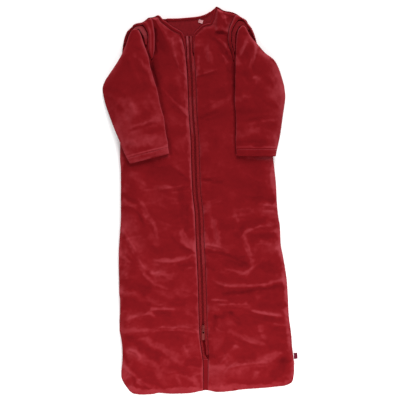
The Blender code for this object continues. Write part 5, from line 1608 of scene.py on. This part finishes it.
def tape_table(side, count=60):
    """Edges of a tape beside the zip's middle line, with a gap between it and the velour."""
    y = np.linspace(ZIP_END if side < 0 else ZIP_END + 9, ZIP_TOP + 2.5, count)
    gap, widest, widest_in_neck = (1.1, 8.3, 7.0) if side < 0 else (0.5, 9.2, 6.2)
    room = np.minimum(zip_half(y, side) - gap, widest)
    room = np.where(y > NECK_LOW, np.minimum(room, widest_in_neck), room)
    middle = zip_middle(y)
    high = TAPE_TOP + zip_rise(y)
    return np.column_stack([middle + slit_edge(y, side), y, middle + side * room, y, high, high])


def build_guard_in_painted_shade(count=60):
    """A thin strip on the back behind the whole zip, a little wider than its gap, coloured dark as
    painted shade.
    """
    y = np.linspace(ZIP_END - 4, ZIP_TOP - 22, count)
    middle = zip_middle(y)
    left, right = middle - (zip_half(y, -1) + 0.5), middle + (zip_half(y, 1) + 0.5)
    high = np.full(count, INNER_FACE - 0.04)
    table = np.column_stack([left, y, right, y, high, high])
    rings, chart, long, wide = soft_strip(table, BACK_THICK + 0.02, per_row=2, around=12)
    made = piece("guard_in_painted_shade_behind_zip", hose(rings), painted_shade_cloth, "tape", chart=chart)


build_guard_in_painted_shade()
for side, name in ((-1, "left"), (1, "right")):
    build_strip(f"woven_zip_tape_{name}", f"zip_tape_{name}", tape_table(side), tape, "tape",
                "velour_back", TAPE_PAINTED_LIGHT_AND_SHADE, relief=tape_dish, per_row=4, around=24)

# %% Teeth
SLIDER_Y, SLIDER_LENGTH, TEETH_TOP = -297.0, 15.0, 15.3
TOOTH_PITCH, TOOTH_LONG, PARTED_LONG, TOOTH_ROUND = 1.5, 2.5, 1.2, 0.42
# share of the length, share of the radius
BAR_RINGS = np.array([(0.0, 0.35), (0.12, 1.0), (0.88, 1.0), (1.0, 0.35)])[:, :, None, None]


def round_bar(around=8):
    """A small bar along x, from 0 to 1, with radius 1 and narrower ends."""
    turn = whole_turn(around)
    ring = np.stack([np.zeros(around), np.cos(turn), np.sin(turn)], axis=-1)
    return hose(ring[None] * BAR_RINGS[:, 1] + BAR_RINGS[:, 0] * (1, 0, 0))


def bars(starts, ways, length, radius):
    """The bar at each start, turned along each way, as one set of points and faces."""
    flat, faces = round_bar()
    side = np.column_stack([-ways[:, 1], ways[:, 0], np.zeros(len(ways))])
    up = np.cross(ways, side)
    points = starts[:, None] + flat[None, :, 0:1] * length * ways[:, None]
    points = points + radius * (flat[None, :, 1:2] * side[:, None] + flat[None, :, 2:3] * up[:, None])
    shift = np.arange(len(starts))[:, None, None] * len(flat)
    return points.reshape(-1, 3), [(group[None] + shift).reshape(-1, group.shape[1]) for group in faces]


def teeth(low, high, side, out):
    """Starts and ways of one side's teeth: each from out beyond its tape's inner edge, inwards."""
    y = np.arange(low, high, TOOTH_PITCH) + side * 0.25 * TOOTH_PITCH
    x = zip_middle(y) + slit_edge(y, side) + side * out
    starts = np.column_stack([x, y, TEETH_TOP - 0.62 + zip_rise(y)])
    ways = np.tile([-side * 1.0, 0.0, 0.0], (len(y), 1))
    return starts, ways


def build_teeth(name, length, rows):
    """The teeth of both sides as one piece."""
    starts, ways = (np.vstack(both) for both in zip(*rows))
    print("teeth:", len(starts))
    return piece(name, bars(starts, ways, length, TOOTH_ROUND), coil, "teeth", crisp=70)


closed_low = SLIDER_Y + SLIDER_LENGTH / 2 + SEAM_GAP
closed = [teeth(closed_low + 0.4, ZIP_TOP - 3.2, side, 0.2) for side in (-1, 1)]
chain = build_teeth("coil_chain", TOOTH_LONG, closed)
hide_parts("zip_chain")
open_high = SLIDER_Y - SLIDER_LENGTH / 2 - 1.0
parted = [teeth(low, open_high, side, 1.1) for low, side in ((ZIP_END + 5, -1), (ZIP_END + 12, 1))]
build_teeth("coil_parted", PARTED_LONG, parted)

# %% The strip over the seam below the zip
END_HALF, END_TOP = 5.5, 15.4


def end_table(count=14):
    """Edges of the strip from the hem up to the zip's end."""
    y = np.linspace(HEM_AT_ZIP + 1.0, ZIP_END - SEAM_GAP, count)
    middle, high = zip_middle(y), np.full(count, END_TOP)
    return np.column_stack([middle - END_HALF, y, middle + END_HALF, y, high, high])


def end_ridge(share, run):
    """A seam in the middle with a rounded welt on each side."""
    return 0.9 * np.abs(np.sin(share * 2 * math.pi)) + 0.15 * np.sin(run * 2)


build_strip("velour_end_strip", "zip_end_strip", end_table(), velour, "velour", "velour_back",
            [(14, -360, 14, -455, 30, -0.9)], relief=end_ridge, around=30, per_row=4)

# %% [markdown]
# ## Slider and pull tab
# The slider is a small cast body with a bridge over it, and the tab swings on the bridge. The body
# is a stack of rounded outlines, wide at the flanges and drawn in between them. The tab is a flat
# ring: an outer outline and the window's outline, joined by a rounded rim.

# %% Slider
SLIDER_WIDTH, SLIDER_LOW, SLIDER_HIGH, BRIDGE_HIGH = 8.6, 15.4, 19.2, 23.6
# share of the height, share of the width and length
SLIDER_LEVELS = [
    (0, 0.86), (0.12, 0.97), (0.25, 1), (0.34, 0.96), (0.4, 0.84), (0.6, 0.84), (0.66, 0.96),
    (0.76, 1), (0.9, 0.96), (1, 0.82),
]
slider_x = float(zip_middle(SLIDER_Y))


def outline(turn, half_wide, half_long, square):
    """A superellipse outline in plan: |x / wide|^n + |y / long|^n = 1."""
    x = round_power(np.cos(turn), 2 / square) * half_wide
    return x, round_power(np.sin(turn), 2 / square) * half_long


def slider_body(around=48):
    """Outlines stacked upwards: lower flange, waist and upper flange, narrower towards the tab."""
    turn = whole_turn(around)
    rings = []
    for share, size in SLIDER_LEVELS:
        x, y = outline(turn, SLIDER_WIDTH / 2 * size, SLIDER_LENGTH / 2 * size, 3.4)
        x = x * (0.88 + 0.12 * y / (SLIDER_LENGTH / 2))
        z = np.full(around, SLIDER_LOW + share * (SLIDER_HIGH - SLIDER_LOW))
        rings.append(np.column_stack([slider_x + x, SLIDER_Y + y, z]))
    return np.array(rings)


def bridge(steps=26, around=12):
    """A rounded bar over an arch: the section is a superellipse across the arch's way."""
    t = np.linspace(0, math.pi, steps)
    y = -round_power(np.cos(t), 0.5) * 4.9
    z = SLIDER_HIGH - 0.9 + np.sin(t) ** 0.6 * (BRIDGE_HIGH - SLIDER_HIGH + 0.3)
    path = np.column_stack([y, z])
    normal = left_of(np.gradient(path, axis=0))
    across, thick = outline(whole_turn(around), 1.3, 0.6, 3.0)
    rings = np.zeros((steps, around, 3))
    rings[..., 0] = slider_x + across[None]
    rings[..., 1] = SLIDER_Y + path[:, None, 0] + normal[:, None, 0] * thick[None]
    rings[..., 2] = path[:, None, 1] + normal[:, None, 1] * thick[None]
    return rings


def joined(*shapes):
    """Several closed shapes as one set of points and faces, each turned outwards first."""
    points, faces, count = [], [], 0
    for own_points, own_faces in shapes:
        flip = volume(own_points, own_faces) < 0
        faces += [(group[:, ::-1] if flip else group) + count for group in own_faces]
        points.append(own_points)
        count += len(own_points)
    return np.vstack(points), faces


slider_shape = joined(hose(slider_body()), hose(bridge()))
slider = piece("lacquered_slider", slider_shape, lacquer, "slider", crisp=35)
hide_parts("zip_slider")

# %% Pull tab
TAB_WIDTH, TAB_LENGTH, TAB_THICK, TAB_PITCH = 6.8, 25.0, 1.3, 7.0
TAB_ARM, TAB_ARM_LENGTH, TAB_AXLE, TAB_BEHIND = 1.5, 9.5, 1.3, 2.2
TAB_HINGE_Z = (SLIDER_HIGH + BRIDGE_HIGH - 1.2) / 2
TAB_HALF, TAB_SIDE = TAB_THICK / 2, TAB_THICK / 2 - 0.3
# 1 for the outer edge and 0 for the window's, how far in from it, height
TAB_PROFILE = [
    (0, 0, -TAB_SIDE), (0, 0.25, -TAB_HALF), (1, 0.3, -TAB_HALF), (1, 0, -TAB_SIDE),
    (1, 0, TAB_SIDE), (1, 0.3, TAB_HALF), (0, 0.25, TAB_HALF), (0, 0, TAB_SIDE),
]


def tab_rings(around=64):
    """Across and down the tab: the window's rim, then round the outer edge and back above.

    Both outlines are superellipses, squarer for the outer edge.
    """
    turn = whole_turn(around)
    centre_y = (TAB_LENGTH - TAB_AXLE / 2) / 2
    outer_x, outer_y = outline(turn, TAB_WIDTH / 2, (TAB_LENGTH + TAB_AXLE / 2) / 2, 5.0)
    window_long = (TAB_ARM_LENGTH - TAB_AXLE / 2) / 2
    window_x, window_y = outline(turn, TAB_WIDTH / 2 - TAB_ARM, window_long, 4.0)
    window_y = window_y + (TAB_ARM_LENGTH + TAB_AXLE / 2) / 2
    rings = []
    for outer, inset, up in TAB_PROFILE:
        if outer:
            x = outer_x * (1 - inset / (TAB_WIDTH / 2))
            y = centre_y + outer_y * (1 - inset / (TAB_LENGTH / 2))
        else:
            x = window_x * (1 + inset / 2)
            y = window_y + np.sign(window_y - 5) * inset * 0.5
        rings.append(np.column_stack([x, y, np.full(around, up)]))
    return np.array(rings)


def build_tab():
    """The tab's rings, laid down from the hinge with its small pitch."""
    rings = tab_rings()
    a = math.radians(TAB_PITCH)
    across, down, up = rings[..., 0], rings[..., 1], rings[..., 2]
    placed = np.dstack([
        slider_x + across,
        SLIDER_Y - TAB_BEHIND - down * math.cos(a) - up * math.sin(a),
        TAB_HINGE_Z - down * math.sin(a) + up * math.cos(a),
    ])
    made = piece("lacquered_pull_tab", hoop(placed), lacquer, "slider", body="pull_tab", crisp=35)
    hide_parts("zip_pull_tab")


build_tab()

# %% [markdown]
# ## Labels
# A size tag of white satin is sewn flat in the neck, and a narrow plum ribbon sticks out of the
# side seam as a loop. Both are plain. A folded ribbon is a flat loop: its section is a long thin
# oval that is a little thicker at the fold.

# %% Size tag and side label
RIBBON_ACROSS, RIBBON_AROUND = 14, 40


def folded_ribbon(x, y, width, length, turn, low, thick, fold):
    """A flat loop: rings across the width, each a thin oval with a round fold at its far end."""
    t = whole_turn(RIBBON_AROUND)
    run, up = round_power(np.cos(t), 0.5) * 0.5, round_power(np.sin(t), 0.7) * 0.5
    across = spread(RIBBON_ACROSS, 0.5) - 0.5
    swollen = 1 + fold * step(run, 0.1, 0.5)
    a = math.radians(turn)
    one, two = np.broadcast_arrays(run[None] * length, across[:, None] * width)
    wave = 0.12 * np.sin(across[:, None] * 9)
    high = low + thick * (0.5 + up * swollen)[None] + wave
    rings = np.dstack([
        x + one * math.cos(a) - two * math.sin(a),
        y + one * math.sin(a) + two * math.cos(a),
        high,
    ])
    chart = np.dstack([one, two]).reshape(-1, 2)
    return hose(rings), chart


shape, chart = folded_ribbon(
    x=2.2, y=414.4, width=7.5, length=10.5, turn=-20, low=13.8, thick=0.9, fold=0.15
)
tag = piece("satin_size_tag", shape, satin, "tag", chart=chart)
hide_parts("size_tag")
shape, chart = folded_ribbon(
    x=222.5, y=-361, width=14.0, length=9.0, turn=3, low=11.4, thick=1.2, fold=0.3
)
label = piece("plum_side_label", shape, plum, "label", chart=chart)
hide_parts("side_label")

# %% [markdown]
# ## Sewing
# The stitches are small rounded bars, like the teeth. They run along the inner edge of the neck
# binding and down both sides of the end strip.

# %% Rows of stitches
STITCH_PITCH, STITCH_LONG, STITCH_ROUND = 3.2, 2.3, 0.28


def stitch_row(path):
    """Even stitches along a path in space: where each starts, and its way."""
    place = run_along(path)
    at = np.arange(0.4, place[-1] - STITCH_LONG, STITCH_PITCH)
    starts, ends = (
        np.column_stack([np.interp(where, place, path[:, k]) for k in range(3)])
        for where in (at, at + STITCH_LONG)
    )
    ways = ends - starts
    return bars(starts, ways / np.linalg.norm(ways, axis=1)[:, None], STITCH_LONG, STITCH_ROUND)


def sew(name, paths):
    """All stitches of some rows as one piece."""
    piece(name, joined(*map(stitch_row, paths)), thread, "velour", crisp=70)


def on_strip(table, share, lift):
    """A path over a strip's edges, at a share of its width, lifted by what the strip bulges."""
    fine = along(table, 160)
    plan = fine[:, 0:2] + (fine[:, 2:4] - fine[:, 0:2]) * share
    high = fine[:, 4] + (fine[:, 5] - fine[:, 4]) * share + lift
    return np.column_stack([plan, high])


sew("stitches_neck", [
    on_strip(left_binding, 0.22, 0.45),
    on_strip(right_binding, 0.22, 0.45),
    on_strip(BINDING_BACK, 0.25, 0.45),
])
sew("stitches_end", [on_strip(end_table(), 0.12, 0.3), on_strip(end_table(), 0.88, 0.3)])

# %% [markdown]
# ## Floor, light and camera
# The sack lies on a plain pale surface. A broad soft light shines from beyond the neck, so each
# crease is bright on its upper side and dark below, and a weaker one beyond the hem fills in. The
# camera looks straight down, from far enough away that nothing leans.

# %% Floor
floor_mesh = bpy.data.meshes.new("floor")
floor_mesh.from_pydata([(-6, -6, 0), (6, -6, 0), (6, 6, 0), (-6, 6, 0)], [], [(0, 1, 2, 3)])
floor_mesh.materials.append(blank_material(
    "plain pale floor", Base_Color=(0.93, 0.93, 0.93, 1), Roughness=0.9, Specular_IOR_Level=0.1,
    Emission_Color=WHITE, Emission_Strength=0.1,
)[0])
floor = add_object("floor", floor_mesh)
print("floor:", floor_mesh.materials[0].name)

# %% Light
FILL_PLACE, FILL_AIM = (0.15, -1.35, 0.85), (0, -0.35, 0)
lamp = bpy.data.lights.new("fill beyond the hem", "AREA")
lamp.size, lamp.energy = 0.9, 25
fill = add_object("fill beyond the hem", lamp)
fill.location = FILL_PLACE
x, y, z = np.subtract(FILL_AIM, FILL_PLACE)
fill.rotation_euler = (math.atan2(math.hypot(x, y), -z), 0, math.atan2(y, x) - math.pi / 2)
sun = bpy.data.lights.new("key beyond the neck", "SUN")
sun.angle, sun.energy = math.radians(34), 3.56
key = add_object("key beyond the neck", sun)
key.rotation_euler = (math.radians(58), 0, math.radians(180 - 8))
world = bpy.data.worlds.new("studio")
world.use_nodes = True
sky = world.node_tree.nodes["Background"].inputs
sky["Color"].default_value, sky["Strength"].default_value = WHITE, 0.45
bpy.context.scene.world = world
bpy.context.scene.view_settings.view_transform = "Standard"
print("lamps:", len(bpy.data.lights))

# %% Camera
# width of the view at a level in the middle of the cloth, and the camera's height over that level
VIEW_SIDE, VIEW_HEIGHT, LEVEL = 0.928, 3.2, 0.0125
VIEW_MIDDLE = (0.0006, 0.0005)
lens = bpy.data.cameras.new("camera")
lens.sensor_fit = "HORIZONTAL"
lens.angle = 2 * math.atan(VIEW_SIDE / 2 / VIEW_HEIGHT)
camera = add_object("camera", lens)
camera.location = (*VIEW_MIDDLE, VIEW_HEIGHT + LEVEL)
bpy.context.scene.camera = camera
print("camera:", round(math.degrees(lens.angle), 2), "degrees across")

# %% Sizes and the end
print("triangles in all:", sum(pieces.values()))
